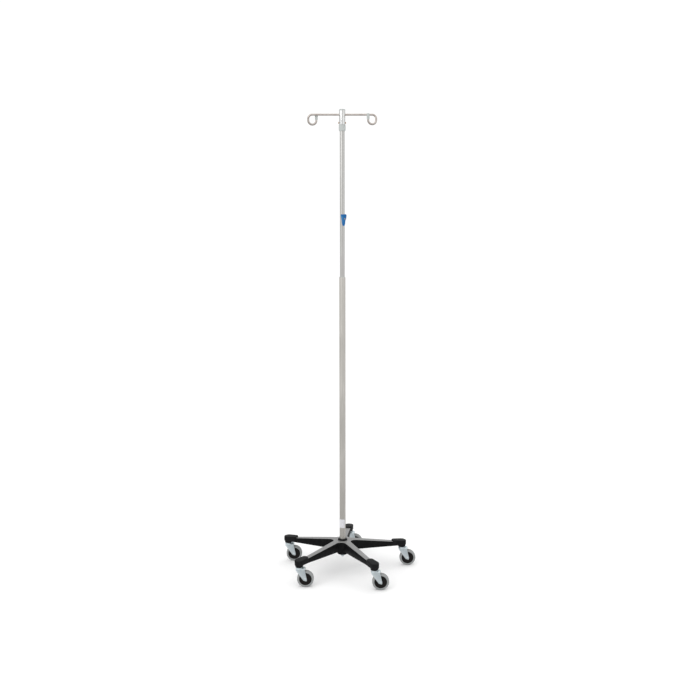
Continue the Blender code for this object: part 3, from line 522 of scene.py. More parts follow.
def grey_rubber():
    """Grey tyre rubber that picks up dirt on its tread."""
    made = Finish("grey_rubber", 0.7, 0.0, 0.35)
    speckle = made.noise(500.0, detail=6.0)
    smudge = made.noise(60.0, detail=5.0, distortion=0.7)
    tread = made.span(made.radius_about_y(), 0.0345, 0.0375)
    dirt = made.maths("MULTIPLY", tread, made.span(smudge, 0.42, 0.7, 0.0, 0.55))
    tint = made.blend(made.span(speckle, 0.35, 0.65), srgb(140, 142, 142), srgb(154, 156, 156))
    made.colour(made.blend(dirt, tint, srgb(112, 112, 104)))
    made.roughness(smudge, 0.6, 0.82)
    made.relief(speckle, 0.00008, 0.45)
    return made.material


def label_paper():
    """Blank coated label, slightly yellowed and scuffed."""
    made = Finish("label_paper", 0.4, 0.0, 0.4)
    fibres = made.noise(700.0, (1.0, 1.0, 0.4), 5.0)
    scuffs = made.noise(120.0, detail=6.0, distortion=1.0)
    tint = made.blend(made.span(fibres, 0.35, 0.65), srgb(208, 208, 213), srgb(217, 217, 221))
    made.colour(made.blend(made.span(scuffs, 0.62, 0.8), tint, srgb(203, 202, 202)))
    made.roughness(scuffs, 0.34, 0.52)
    made.relief(fibres, 0.00002, 0.3)
    return made.material


OUTER_STEEL = tube_steel("outer_steel", srgb(231, 228, 222), srgb(205, 202, 196), 0.36, 0.48)
INNER_STEEL = tube_steel("inner_steel", srgb(216, 215, 213), srgb(200, 199, 196), 0.30, 0.40)
ROD_STEEL = polished_metal("rod_steel", srgb(205, 198, 192), srgb(190, 181, 175), 0.16, 0.28)
HEAD_STEEL = polished_metal("head_steel", srgb(231, 232, 232), srgb(220, 220, 218), 0.16, 0.27)
BRASS = polished_metal("brass", srgb(206, 172, 134), srgb(190, 150, 112), 0.2, 0.34)
ZINC = zinc_plate()
SATIN_PLATE = satin_plate()
POWDER_COAT = powder_coat()
BLACK_PLASTIC = moulded_plastic(
    "black_plastic", srgb(20, 20, 21), srgb(29, 29, 30), srgb(46, 46, 46), 0.42, 0.58, 0.08
)
WHEEL_PLASTIC = moulded_plastic(
    "wheel_plastic", srgb(21, 20, 19), srgb(28, 26, 24), srgb(40, 38, 36), 0.45, 0.62, 0.14
)
GREY_PLASTIC = moulded_plastic(
    "grey_plastic", srgb(176, 181, 179), srgb(188, 192, 190), srgb(208, 211, 210), 0.4, 0.55, 0.4
)
BLUE_PLASTIC = moulded_plastic(
    "blue_plastic", srgb(8, 88, 148), srgb(14, 99, 160), srgb(62, 124, 174), 0.32, 0.46, 0.3
)
GREY_RUBBER = grey_rubber()
LABEL_PAPER = label_paper()


# Placing


def show(name, mesh, material, body, nodes, place=None):
    """Add a visible piece that stands for CAD nodes and moves with their body."""
    piece = placed_object(name, mesh, place)
    if not mesh.materials:
        mesh.materials.append(material)
    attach(piece, body)
    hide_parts(*nodes)
    return piece


def span_of(node):
    """Outer radius about the pole's axis, lowest and highest point of a CAD node."""
    low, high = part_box(node)
    return max(high.x, high.y, -low.x, -low.y), low.z, high.z


def leg_place(leg):
    return Matrix.Rotation(FIRST_LEG + LEG_STEP * leg, 4, "Z")


def swivel_place(leg):
    azimuth = FIRST_LEG + LEG_STEP * leg
    x = STEM_CIRCLE_RADIUS * math.cos(azimuth)
    y = STEM_CIRCLE_RADIUS * math.sin(azimuth)
    return Matrix.Translation((x, y, 0.0))


# Star


def star_top(x):
    """Height of the star's top at x along a leg: level, then a soft bend, then the slope."""
    past = x - HUB_FLAT_RADIUS
    if past > HUB_BLEND:
        return HUB_TOP - TOP_SLOPE * past
    if past > -HUB_BLEND:
        return HUB_TOP - TOP_SLOPE * (past + HUB_BLEND) ** 2 / (4 * HUB_BLEND)
    return HUB_TOP


def leg_half_width(x, border=0.0):
    return LEG_ROOT_HALF_WIDTH - LEG_TAPER * x + border


def leg_rows(border, end):
    """(x, half width) down one leg, from the crotches to its end."""
    lean = LEG_STEP / 2
    taper_angle = math.atan(LEG_TAPER)
    fillet = CROTCH_FILLET - border
    reach = (LEG_ROOT_HALF_WIDTH + border) * math.cos(taper_angle) + fillet
    crotch = reach / math.sin(lean + taper_angle)
    centre = (crotch * math.cos(lean), crotch * math.sin(lean))
    first = math.pi + lean
    last = 3 * HALF_TURN - taper_angle
    rows = arc(centre, fillet, first, last, CROTCH_STEPS // 2)
    start = rows[-1][0]
    steps = 24
    for step in range(1, steps + 1):
        x = start + (end - start) * step / steps
        rows.append((x, leg_half_width(x, border)))
    return rows


def star_sheet(border, end, drop, hole):
    """The star's top surface as open faces, with a round hole or closed at the hub."""
    shape = bmesh.new()
    columns = [step / 4 for step in range(-4, 5)]
    for leg in range(len(LEGS)):
        turn = leg_place(leg)
        rows = leg_rows(border, end)
        grid = [
            [turn @ Vector((x, half * column, star_top(x) - drop)) for column in columns]
            for x, half in rows
        ]
        inner = []
        for point in grid[0]:
            flat = Vector((point.x, point.y, 0.0)).normalized() * hole
            inner.append(Vector((flat.x, flat.y, HUB_TOP - drop)))
        grid.insert(0, inner)
        made = [[shape.verts.new(point) for point in row] for row in grid]
        for near, far in zip(made, made[1:]):
            for step in range(len(columns) - 1):
                shape.faces.new((near[step], near[step + 1], far[step + 1], far[step]))
    bmesh.ops.remove_doubles(shape, verts=shape.verts, dist=0.000005)
    return shape


def thickened(name, shape, bottom):
    """Extrude an open sheet down, each point to the height that bottom gives."""
    faces = list(shape.faces)
    made = bmesh.ops.extrude_face_region(shape, geom=faces)
    for item in made["geom"]:
        if isinstance(item, bmesh.types.BMVert):
            item.co.z = bottom(item.co)
    return meshed(name, shape)


def pocket_mesh():
    """The hollow under one leg, narrower towards its roof so that it leaves its mould."""
    ceiling = INLAY_THICKNESS + GAP + LEG_WALL
    rings = []
    for height, draft in ((HUB_BOTTOM, 0.0), (LEG_BOTTOM, 0.0), (None, POCKET_DRAFT)):
        ring = []
        for x, side in ((POCKET_START, -1), (POCKET_END, -1), (POCKET_END, 1), (POCKET_START, 1)):
            half = leg_half_width(x, INLAY_BORDER) - LEG_WALL - draft
            z = star_top(x) - ceiling if height is None else height
            ring.append((x, side * half, z))
        rings.append(ring)
    return skinned("pocket", rings, caps=True)


def build_star():
    casting = thickened(
        "star_casting",
        star_sheet(INLAY_BORDER, LEG_END_RADIUS, INLAY_THICKNESS + GAP, 0.002),
        lambda point: LEG_BOTTOM,
    )
    tools = []
    for leg in range(len(LEGS)):
        pocket = pocket_mesh()
        pocket.transform(leg_place(leg))
        tools.append(("DIFFERENCE", pocket))
    buried = HUB_TOP - 0.01
    hub = softened(
        [
            (0.0, buried, 0.0), (HUB_RADIUS, buried, 0.0), (HUB_RADIUS, HUB_BOTTOM, 0.0045),
            (0.0, HUB_BOTTOM, 0.0),
        ],
        steps=8,
    )
    tools.append(("UNION", turned("hub", hub)))
    bore = [
        (0.0, HUB_TOP + BEYOND), (HUB_BORE, HUB_TOP + BEYOND), (HUB_BORE, HUB_BORE_FLOOR),
        (STUD_HOLE_RADIUS, HUB_BORE_FLOOR), (STUD_HOLE_RADIUS, HUB_BOTTOM - BEYOND),
        (0.0, HUB_BOTTOM - BEYOND),
    ]
    tools.append(("DIFFERENCE", turned("bore", bore)))
    mesh = carved(casting, tools, 0.0007)
    show("star_casting", mesh, POWDER_COAT, "base", ["base_casting"])
    plate = thickened(
        "star_plate",
        star_sheet(0.0, INLAY_END_RADIUS, 0.0, HUB_BORE),
        lambda point: point.z - INLAY_THICKNESS,
    )
    mesh = carved(plate, [], 0.0004, 2)
    show("star_plate", mesh, SATIN_PLATE, "base", ["base_star_inlay"])


# Leg-end caps


def cap_top(x):
    """Height of a cap's sloping top, which falls from its nose to its round end."""
    nose_centre, nose_length, _ = CAP_NOSE
    return CAP_NOSE_TOP - CAP_SLOPE * (x - nose_centre + nose_length)


def leg_top(x):
    """Height of the star's top out on a leg, past the bend at the hub."""
    return HUB_TOP - TOP_SLOPE * (x - HUB_FLAT_RADIUS)


def cap_outline(inset):
    """A rounded nose over the leg, straight flanks and a round end about the stem."""
    nose_centre, nose_length, nose_half_width = CAP_NOSE
    outline = arc((STEM_CIRCLE_RADIUS, 0.0), CAP_END_RADIUS - inset, -HALF_TURN, HALF_TURN, 28)
    for x, y in arc((0.0, 0.0), 1.0, HALF_TURN, 3 * HALF_TURN, 28):
        outline.append((nose_centre + (nose_length - inset) * x, (nose_half_width - inset) * y))
    return outline


def cap_shell():
    """The cap's outside, with a small edge below and a round one above."""
    rings = []
    for inset, rise in ((0.0014, 0.0), (0.0004, 0.0004), (0.0, 0.0014)):
        rings.append([(x, y, CAP_BOTTOM + rise) for x, y in cap_outline(inset)])
    steps = 6
    for step in range(steps + 1):
        angle = HALF_TURN * step / steps
        inset = CAP_TOP_EDGE * (1 - math.cos(angle))
        below = CAP_TOP_EDGE * (1 - math.sin(angle))
        rings.append([(x, y, cap_top(x) - below) for x, y in cap_outline(inset)])
    return skinned("leg_end_cap", rings, caps=True)


def leg_tool():
    """The leg's end with its clearance, to be cut out of the cap."""
    start = POCKET_END - LEG_WALL
    end = LEG_END_RADIUS + GAP
    rings = []
    for top in (False, True):
        ring = []
        for x, side in ((start, -1), (end, -1), (end, 1), (start, 1)):
            half = leg_half_width(x, INLAY_BORDER) + GAP
            ring.append((x, side * half, leg_top(x) + GAP if top else HUB_BOTTOM))
        rings.append(ring)
    return skinned("leg", rings, caps=True)


def cap_mesh():
    profile = softened(
        [
            (0.0, BOSS_TOP, 0.0), (BOSS_RADIUS, BOSS_TOP, 0.0),
            (BOSS_FOOT_RADIUS, BOSS_BOTTOM, 0.0048), (0.0, BOSS_BOTTOM, 0.0),
        ],
        steps=8,
    )
    boss = moved(turned("boss", profile, 56), STEM_CIRCLE_RADIUS)
    socket = moved(round_bar("socket", SOCKET_RADIUS, 0.05, SOCKET_TOP, 32), STEM_CIRCLE_RADIUS)
    tools = [("UNION", boss), ("DIFFERENCE", socket), ("DIFFERENCE", leg_tool())]
    for side in (-1, 1):
        y = side * (CAP_END_RADIUS + 0.0001) * 0.985
        groove = round_bar("groove", GROOVE_RADIUS, 0.09, 0.1105, 16)
        tools.append(("DIFFERENCE", moved(groove, STEM_CIRCLE_RADIUS - GROOVE_SETBACK, y)))
    return carved(cap_shell(), tools)


# Casters


def stadium(inset):
    """The crown's outline, seen from above."""
    outline = arc((0.0108, 0.0), 0.0185 - inset, -HALF_TURN, HALF_TURN, 24)
    outline += arc((0.0022, 0.0), 0.0185 - inset, HALF_TURN, 3 * HALF_TURN, 24)
    return outline


def crown_mesh():
    """The pressed crown: a domed upper plate over a lower one, with a seam between."""
    layers = [
        (0.0010, 0.0812), (0.0003, 0.0815), (0.0, 0.0822), (0.0, 0.0834), (0.0003, 0.0838),
        (0.0013, 0.0839), (0.0013, 0.0849), (0.0003, 0.0850), (0.0, 0.0854), (0.0, 0.0862),
        (0.0004, 0.0872), (0.0013, 0.0880), (0.0028, 0.0886), (0.0045, 0.0890), (0.0062, 0.0892),
        (0.0075, CROWN_TOP),
    ]
    rings = [[(x, y, z) for x, y in stadium(inset)] for inset, z in layers]
    return skinned("crown", rings, caps=True)


def fork_plates_mesh():
    """Two side plates that taper from the crown to the axle, with pressed-over edges."""
    outline = softened(
        [
            (-0.0152, 0.0853, 0.0),
            (-0.0150, 0.0806, 0.003),
            (TRAIL - 0.0088, WHEEL_RADIUS - 0.0052, 0.0070),
            (TRAIL + 0.0068, WHEEL_RADIUS - 0.0098, 0.0070),
            (TRAIL + 0.0068, WHEEL_RADIUS + 0.0010, 0.0120),
            (0.0262, 0.0760, 0.0300),
            (0.0257, 0.0853, 0.0),
        ],
        closed=True,
        steps=8,
    )
    return side_slab("fork_plates", outline, FORK_OUTSIDE)


def fork_mesh():
    inside = FORK_OUTSIDE - FORK_PLATE
    room = block("room", (-BEYOND, -inside, 0.0), (BEYOND, inside, CROWN_CEILING))
    race = softened(
        [
            (0.0, 0.0885, 0.0), (RACE_RADIUS, 0.0885, 0.0), (RACE_RADIUS, RACE_TOP, 0.0008),
            (0.0, RACE_TOP, 0.0),
        ]
    )
    knob = softened(
        [(0.0, 0.0880, 0.0), (0.0031, 0.0880, 0.0), (0.0031, 0.0912, 0.0014), (0.0, 0.0914, 0.0)]
    )
    stem_hole = round_bar("stem_hole", SOCKET_RADIUS, 0.0, 2 * BEYOND, 32)
    axle_hole = round_bar("axle_hole", AXLE_HOLE_RADIUS, -BEYOND, BEYOND, 24, "Y")
    tools = [
        ("UNION", crown_mesh()),
        ("UNION", turned("race", race, 56)),
        ("UNION", moved(turned("knob", knob, 28), KNOB_X)),
        ("DIFFERENCE", room),
        ("DIFFERENCE", stem_hole),
        ("DIFFERENCE", moved(axle_hole, TRAIL, 0.0, WHEEL_RADIUS)),
    ]
    return carved(carved(fork_plates_mesh(), [], 0.0006, 2), tools)


def axle_mesh():
    seat = FORK_OUTSIDE + GAP
    head = softened(
        [
            (0.0, seat + 0.0020, 0.0), (0.0030, seat + 0.0018, 0.0008),
            (0.0046, seat + 0.0006, 0.0004), (0.0046, seat, 0.0), (0.0030, seat, 0.0),
        ]
    )
    return laid_along(turned("axle", mirrored(head), 32), "Y")


def wheel_hub_mesh():
    """Moulded wheel centre: a rim, a raised ring, a dished web and a boss with the bore."""
    rim = HUB_DISC_RADIUS - GAP
    near = softened(
        [
            (rim, 0.0, 0.0), (rim, 0.0105, 0.0006), (rim - 0.0020, 0.0105, 0.0004),
            (rim - 0.0026, 0.0094, 0.0004), (0.0190, 0.0088, 0.0), (0.0184, 0.0094, 0.0003),
            (0.0172, 0.0094, 0.0003), (0.0166, 0.0088, 0.0), (0.0088, 0.0084, 0.0006),
            (0.0075, 0.0134, 0.0006), (AXLE_HOLE_RADIUS, 0.0134, 0.0),
        ],
        steps=3,
    )
    return laid_along(turned("wheel_hub", mirrored(near, 1), 72, loop=True), "Y")


def tyre_mesh():
    """Tyre with round shoulders, a shallow groove beside the tread and a bead at the hub."""
    half = TYRE_HALF_WIDTH
    near = softened(
        [
            (WHEEL_RADIUS, 0.0, 0.0), (WHEEL_RADIUS - 0.0002, half - 0.0034, 0.003),
            (WHEEL_RADIUS - 0.0042, half, 0.0026), (0.0312, half, 0.0),
            (0.0308, half - 0.0004, 0.0), (0.0304, half, 0.0),
            (HUB_DISC_RADIUS + GAP, half - 0.0003, 0.0006), (HUB_DISC_RADIUS, half - 0.0010, 0.0),
        ],
        steps=7,
    )
    return laid_along(turned("tyre", mirrored(near, 1), 96, loop=True), "Y")


def build_casters():
    cap = cap_mesh()
    fork = fork_mesh()
    axle = axle_mesh()
    hub = wheel_hub_mesh()
    tyre = tyre_mesh()
    profile = softened(
        [
            (0.0, 0.0808, 0.0), (0.0080, 0.0808, 0.0004), (0.0080, 0.0829, 0.0),
            (0.0055, 0.0829, 0.0), (0.0055, 0.1112, 0.0008), (0.0, 0.1112, 0.0),
        ]
    )
    stem = turned("stem", profile, 32)
    for leg, name in enumerate(LEGS):
        swivel = swivel_place(leg)
        spin = swivel @ Matrix.Translation((TRAIL, 0.0, WHEEL_RADIUS))
        leg_cap = cap.copy()
        leg_cap.transform(leg_place(leg))
        node = f"leg_end_cap_{name}"
        show(f"cap_{name}", leg_cap, BLACK_PLASTIC, "base", [node])
        show(f"stem_{name}", stem, ZINC, "base", [f"caster_stem_{name}"], swivel)
        show(f"fork_{name}", fork, ZINC, f"caster_{name}", [f"caster_fork_{name}"], swivel)
        show(f"axle_{name}", axle, ZINC, f"caster_{name}", [f"caster_axle_{name}"], spin)
        body = f"wheel_{name}"
        show(f"hub_{name}", hub, WHEEL_PLASTIC, body, [f"wheel_hub_{name}"], spin)
        show(f"tread_{name}", tyre, GREY_RUBBER, body, [f"tyre_{name}"], spin)


# Pole


def build_hub_fittings():
    radius, low, high = span_of("hub_bushing")
    bore = span_of("outer_tube")[0] + GAP
    profile = softened(
        [
            (bore, high, 0.0004), (radius - 0.0032, high, 0.0006),
            (radius - 0.0006, high - 0.0022, 0.001), (radius, high - 0.0040, 0.0008),
            (radius, HUB_TOP + GAP, 0.0), (HUB_BORE - GAP, HUB_TOP + GAP, 0.0),
            (HUB_BORE - GAP, low, 0.0), (bore, low, 0.0),
        ],
        closed=True,
    )
    mesh = turned("hub_bush", profile, 96, loop=True)
    show("hub_bush", mesh, BLACK_PLASTIC, "base", ["hub_bushing"])

    radius, low, high = span_of("base_washer")
    profile = softened(
        [(0.0053, high, 0.0), (radius, high, 0.0003), (radius, low, 0.0003), (0.0053, low, 0.0)],
        closed=True,
    )
    mesh = turned("foot_washer", profile, 64, loop=True)
    show("foot_washer", mesh, ZINC, "base", ["base_washer"])

    low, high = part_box("base_cap_nut")
    across = (high.x - low.x) / 2
    shoulder = high.z - 0.0055
    flats = [(0.0, high.z), (across, high.z), (across, shoulder), (0.0, shoulder)]
    cone = [
        (0.0, high.z), (across * 0.93, high.z), (across * 1.02, high.z - 0.0008),
        (across * 1.02, shoulder + 0.0010), (across * 0.90, shoulder), (0.0, shoulder),
    ]
    dome = softened(
        [
            (0.0, shoulder + 0.001, 0.0), (across * 0.84, shoulder + 0.001, 0.0),
            (across * 0.82, shoulder - 0.0012, 0.002), (across * 0.30, low.z, 0.0035),
            (0.0, low.z, 0.0),
        ],
        steps=8,
    )
    tools = [
        ("INTERSECT", turned("cone", cone, 48)),
        ("UNION", turned("dome", dome, 48)),
        ("DIFFERENCE", round_bar("thread", STUD_HOLE_RADIUS, THREAD_BOTTOM, 0.09, 32)),
    ]
    mesh = carved(turned("cap_nut", flats, 6), tools, 0.0002, 1)
    show("cap_nut", mesh, ZINC, "base", ["base_cap_nut"])


def label_mesh():
    """A band of thin label stock round the tube, with round corners."""
    radius, low, high = span_of("label_sticker")
    sweep = LABEL_END - LABEL_START
    length = sweep * radius
    steps = 56
    columns = []
    shape = bmesh.new()
    for step in range(steps + 1):
        share = (1 - math.cos(math.pi * step / steps)) / 2
        angle = LABEL_START + sweep * share
        across = (math.cos(angle), math.sin(angle))
        from_end = min(share, 1 - share) * length
        short = 0.0
        if from_end < LABEL_CORNER:
            short = LABEL_CORNER - math.sqrt(LABEL_CORNER ** 2 - (LABEL_CORNER - from_end) ** 2)
        column = []
        for height in (low + short, high - short):
            for size in (radius - GAP, radius):
                column.append(shape.verts.new((size * across[0], size * across[1], height)))
        columns.append(column)
    for near, far in zip(columns, columns[1:]):
        for first, second in ((0, 1), (1, 3), (3, 2), (2, 0)):
            shape.faces.new((near[first], near[second], far[second], far[first]))
    for column in (columns[0], columns[-1]):
        shape.faces.new((column[0], column[1], column[3], column[2]))
    return meshed("label", shape)


def build_lower_tube():
    radius, low, high = span_of("outer_tube")
    bore = radius - LARGE_TUBE_WALL
    profile = softened(
        [
            (radius, low, 0.0005), (radius, high - 0.0007, 0.0006),
            (radius - 0.0007, high, 0.0003), (bore, high, 0.0003), (bore, low, 0.0),
        ],
        closed=True,
    )
    mesh = turned("lower_tube", profile, 96, loop=True)
    show("lower_tube", mesh, OUTER_STEEL, "base", ["outer_tube"])

    lip_radius, lip_low, lip_high = span_of("guide_bush")
    inner = span_of("inner_tube")[0] + GAP
    sleeve = bore - GAP
    profile = softened(
        [
            (inner, lip_high, 0.0003), (sleeve - 0.0001, lip_high, 0.0005),
            (lip_radius, high + GAP + 0.0005, 0.0003), (lip_radius, high + GAP, 0.0),
            (sleeve, high + GAP, 0.0), (sleeve, lip_low, 0.0), (inner, lip_low, 0.0),
        ],
        closed=True,
    )
    mesh = turned("tube_guide", profile, 96, loop=True)
    show("tube_guide", mesh, GREY_PLASTIC, "base", ["guide_bush"])
    show("label", label_mesh(), LABEL_PAPER, "base", ["label_sticker"])


def pin_hole():
    hole = round_bar("hole", CROSS_PIN_HOLE_RADIUS, -BEYOND, BEYOND, 24, "X")
    return moved(hole, z=CROSS_PIN_HEIGHT)


def build_upper_tube():
    radius, low, high = span_of("inner_tube")
    bore = SMALL_TUBE_BORE
    profile = softened(
        [(radius, low, 0.0004), (radius, high, 0.0004), (bore, high, 0.0), (bore, low, 0.0)],
        closed=True,
    )
    slot = block(
        "slot",
        (0.0, -SLOT_HALF_WIDTH, PIVOT_HEIGHT - SLOT_HALF_HEIGHT),
        (BEYOND, SLOT_HALF_WIDTH, PIVOT_HEIGHT + SLOT_HALF_HEIGHT),
    )
    tools = [("DIFFERENCE", slot), ("DIFFERENCE", pin_hole())]
    mesh = carved(turned("upper_tube", profile, 96, loop=True), tools)
    show("upper_tube", mesh, INNER_STEEL, "inner_pole", ["inner_tube"])


def build_head():
    radius, low, high = span_of("pole_collar")
    head_radius, head_low, head_high = span_of("head_tube")
    head_bore = head_radius - LARGE_TUBE_WALL
    inner = span_of("inner_tube")[0] + GAP
    collar_top = head_low - GAP
    profile = softened(
        [
            (inner, low, 0.0004), (radius - 0.0022, low, 0.0008),
            (radius - 0.0006, low + 0.0022, 0.0016), (radius, low + 0.0060, 0.002),
            (radius, collar_top, 0.0009), (head_bore - GAP, collar_top, 0.0),
            (head_bore - GAP, high, 0.0), (inner, high, 0.0),
        ],
        closed=True,
    )
    mesh = carved(turned("collar", profile, 96, loop=True), [("DIFFERENCE", pin_hole())])
    show("collar", mesh, GREY_PLASTIC, "inner_pole", ["pole_collar"])

    profile = softened(
        [
            (head_radius, head_low, 0.0006), (head_radius, head_high, 0.0005),
            (head_bore, head_high, 0.0), (head_bore, head_low, 0.0),
        ],
        closed=True,
    )
    rod_hole = round_bar("rod_hole", ROD_HOLE_RADIUS, -BEYOND, BEYOND, 32, "X")
    tools = [("DIFFERENCE", pin_hole()), ("DIFFERENCE", moved(rod_hole, z=BAR_HEIGHT))]
    mesh = carved(turned("head", profile, 96, loop=True), tools)
    show("head", mesh, HEAD_STEEL, "inner_pole", ["head_tube"])

    cap_radius, cap_low, cap_high = span_of("head_cap")
    profile = softened(
        [
            (0.0, cap_high, 0.0), (cap_radius * 0.55, cap_high - 0.0001, 0.004),
            (cap_radius - 0.0020, cap_high - 0.0009, 0.002), (cap_radius, cap_high - 0.0036, 0.001),
            (cap_radius, head_high + GAP, 0.0), (head_bore - GAP, head_high + GAP, 0.0),
            (head_bore - GAP, cap_low, 0.0), (0.0, cap_low, 0.0),
        ]
    )
    mesh = turned("top_cap", profile, 96)
    show("top_cap", mesh, GREY_PLASTIC, "inner_pole", ["head_cap"])

    seat = head_radius + GAP
    side = softened(
        [
            (0.0, seat + 0.0030, 0.0), (0.0026, seat + 0.0026, 0.002),
            (0.0046, seat + 0.0009, 0.0012), (0.00475, seat, 0.0), (0.0025, seat, 0.0),
        ]
    )
    pin = moved(laid_along(turned("cross_pin", mirrored(side), 40), "X"), z=CROSS_PIN_HEIGHT)
    show("cross_pin", pin, BRASS, "inner_pole", ["head_cross_pin"])


def hook_path(side):
    """Centre line of one hook, from the pole's axis round its bend to the tip."""
    bend_x = HOOK_OUTER_X - HOOK_BEND
    low_z = BAR_HEIGHT - HOOK_BEND - HOOK_STRAIGHT
    bent = arc((bend_x, BAR_HEIGHT - HOOK_BEND), HOOK_BEND, HALF_TURN, 0.0, 18)
    bent += arc((bend_x, low_z), HOOK_BEND, 0.0, -math.pi, 36)
    path = []
    for step, (x, z) in enumerate(bent):
        share = step / (len(bent) - 1)
        ease = share * share * (3 - 2 * share)
        path.append((side * x, -side * HOOK_OFFSET * ease, z))
    tip_x = side * (bend_x - HOOK_BEND)
    path.append((tip_x, -side * HOOK_OFFSET, BAR_HEIGHT + ROD_RADIUS - 0.003))
    return path


def build_hooks():
    left = hook_path(-1)
    left.reverse()
    rod = swept("hook_rod", left + hook_path(1), ROD_RADIUS)
    show("hooks", rod, ROD_STEEL, "inner_pole", ["hook_rod"])
    for name, side in (("left", -1), ("right", 1)):
        low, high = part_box(f"hook_tip_{name}")
        radius = (high.x - low.x) / 2
        bore = ROD_RADIUS + GAP
        profile = softened(
            [
                (0.0, high.z, 0.0), (radius, high.z - 0.0002, 0.0028),
                (radius, low.z + 0.009, 0.006), (radius - 0.0006, low.z, 0.0005),
                (bore, low.z, 0.0), (bore, high.z - 0.0015, 0.0), (0.0, high.z - 0.0015, 0.0),
            ]
        )
        tip_x = side * (HOOK_OUTER_X - 2 * HOOK_BEND)
        place = Matrix.Translation((tip_x, -side * HOOK_OFFSET, 0.0))
        mesh = turned(f"tip_{name}", profile, 48)
        node = f"hook_tip_{name}"
        show(f"tip_{name}", mesh, GREY_PLASTIC, "inner_pole", [node], place)


# Lever


def build_lever():
    """A channel-shaped thumb lever with a flared thumb rest, on a riveted pin."""
    outline = softened(
        [
            (-0.0182, 0.0195, 0.0012), (-0.0190, 0.0180, 0.001), (-0.0122, -0.0250, 0.008),
            (-0.0098, -0.0303, 0.003), (-0.0052, -0.0320, 0.003), (-0.0013, -0.0303, 0.003),
            (0.0012, -0.0240, 0.010), (0.0024, -0.0080, 0.020), (0.0067, 0.0040, 0.012),
            (0.0077, 0.0140, 0.010), (0.0072, 0.0180, 0.003), (0.0042, 0.0210, 0.003),
        ],
        closed=True,
        steps=6,
    )
    channel = softened(
        [
            (-BEYOND, -BEYOND, 0.0), (-0.0004, -BEYOND, 0.0), (-0.0004, -0.0240, 0.010),
            (0.0006, -0.0080, 0.02), (0.0049, 0.0040, 0.012), (0.0059, 0.0140, 0.010),
            (0.0038, 0.0190, 0.003), (0.0038, BEYOND, 0.0), (-BEYOND, BEYOND, 0.0),
        ],
        closed=True,
        steps=6,
    )
    finger = block("finger", (-0.0126, -0.0020, -0.0025), (0.0062, 0.0020, 0.0025))
    tools = [
        ("DIFFERENCE", side_slab("channel", channel, LEVER_GAP)),
        ("UNION", finger),
        ("DIFFERENCE", round_bar("hole", LEVER_HOLE_RADIUS, -BEYOND, BEYOND, 24, "Y")),
    ]
    shell = carved(side_slab("lever", outline, LEVER_HALF_WIDTH), [], 0.0012, 4)
    mesh = carved(shell, tools)
    place = Matrix.Translation((PIVOT_X, 0.0, PIVOT_HEIGHT))
    show("lever", mesh, BLUE_PLASTIC, "thumb_lever", ["release_lever"], place)

    seat = LEVER_HALF_WIDTH + GAP
    side = softened(
        [
            (0.0, seat + 0.0012, 0.0), (0.0019, seat + 0.0011, 0.001),
            (0.0028, seat + 0.0002, 0.0003), (0.0028, seat, 0.0), (0.0015, seat, 0.0),
        ]
    )
    pin = laid_along(turned("lever_pin", mirrored(side), 32), "Y")
    show("lever_pin", pin, BRASS, "inner_pole", ["lever_pivot_pin"], place)


def finish_inner_parts():
    """Parts inside the pole keep their CAD shapes and get the same finishes."""
    finishes = {
        "tube_foot_plug": ZINC,
        "lever_bracket": ZINC,
        "lock_plug": ZINC,
        "lock_sleeve": GREY_PLASTIC,
        "lock_spring": ROD_STEEL,
        "pull_rod": ZINC,
        "lock_cone": ZINC,
    }
    for name, material in finishes.items():
        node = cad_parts[name]
        node.data.materials.clear()
        node.data.materials.append(material)


# Studio


def floor_material():
    made = Finish("studio_floor", 0.9, 0.0, 0.1)
    cloud = made.noise(0.6, detail=3.0)
    made.colour(made.blend(made.span(cloud, 0.3, 0.7), (0.95, 0.95, 0.95), (0.97, 0.97, 0.97)))
    return made.material


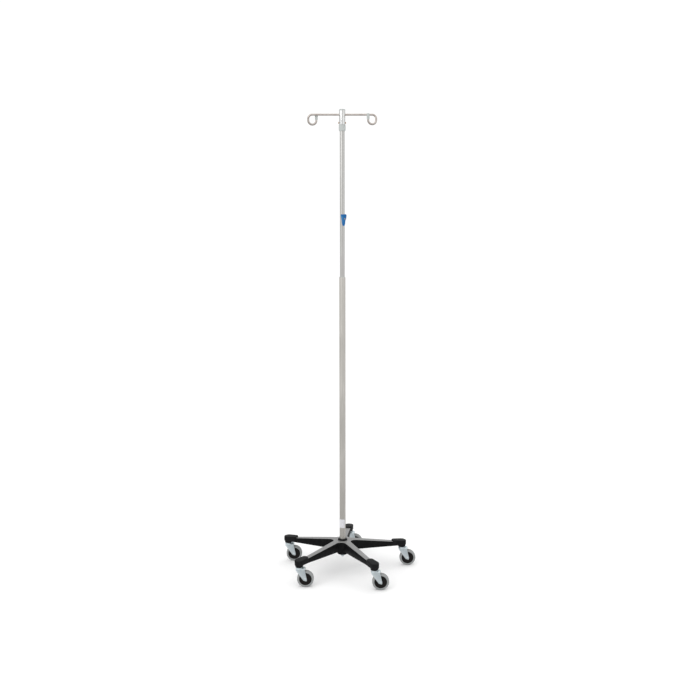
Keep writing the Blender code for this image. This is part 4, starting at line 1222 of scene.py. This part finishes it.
def build_sky():
    """A soft box all round that is white to the camera and dimmer below the horizon."""
    world = bpy.data.worlds.new("studio")
    world.use_nodes = True
    tree = world.node_tree
    background = tree.nodes["Background"]
    background.inputs["Color"].default_value = (1.0, 1.0, 1.0, 1.0)
    place = tree.nodes.new("ShaderNodeTexCoord")
    separate = tree.nodes.new("ShaderNodeSeparateXYZ")
    tree.links.new(place.outputs["Generated"], separate.inputs["Vector"])
    fade = tree.nodes.new("ShaderNodeMapRange")
    for end, (height, strength) in (("Min", SKY_LOW), ("Max", SKY_HIGH)):
        fade.inputs[f"From {end}"].default_value = height
        fade.inputs[f"To {end}"].default_value = strength
    tree.links.new(separate.outputs["Z"], fade.inputs["Value"])
    path = tree.nodes.new("ShaderNodeLightPath")
    choice = tree.nodes.new("ShaderNodeMix")
    choice.inputs["B"].default_value = SKY_TO_CAMERA
    tree.links.new(path.outputs["Is Camera Ray"], choice.inputs["Factor"])
    tree.links.new(fade.outputs["Result"], choice.inputs["A"])
    tree.links.new(choice.outputs["Result"], background.inputs["Strength"])
    bpy.context.scene.world = world


def build_studio():
    shape = bmesh.new()
    bmesh.ops.create_circle(shape, cap_ends=True, radius=FLOOR_RADIUS, segments=64)
    floor = placed_object("floor", meshed("floor", shape))
    floor.data.materials.append(floor_material())
    floor.visible_glossy = False

    build_sky()
    target = Vector((0.0, 0.0, 1.0))
    for name, kind, place, size, power in (
        ("key_light", "AREA", (-3.0, -3.4, 3.2), 2.2, 22.0),
        ("fill_light", "AREA", (3.6, -2.4, 2.2), 2.2, 6.0),
        ("sky_left", "SUN", (-3.0, -3.0, 7.0), 1.2, 0.65),
        ("sky_right", "SUN", (3.0, 1.0, 7.0), 1.2, 0.50),
    ):
        lamp = bpy.data.lights.new(name, kind)
        lamp.energy = power
        if kind == "AREA":
            lamp.shape = "DISK"
            lamp.size = size
        else:
            lamp.angle = size
        light = placed_object(name, lamp)
        light.location = place
        light.rotation_euler = (target - Vector(place)).to_track_quat("-Z", "Y").to_euler()


def build_camera():
    lens = bpy.data.cameras.new("camera")
    lens.lens = CAMERA_LENS
    lens.sensor_width = 36.0
    lens.clip_end = 200.0
    camera = placed_object("camera", lens)
    camera.location = CAMERA_PLACE
    camera.rotation_euler = (math.radians(90.0 - CAMERA_DOWN), 0.0, math.radians(CAMERA_TURN))
    bpy.context.scene.camera = camera
    bpy.context.scene.view_settings.view_transform = "Standard"


build_camera()
build_studio()
build_star()
build_casters()
build_hub_fittings()
build_lower_tube()
build_upper_tube()
build_head()
build_hooks()
build_lever()
finish_inner_parts()
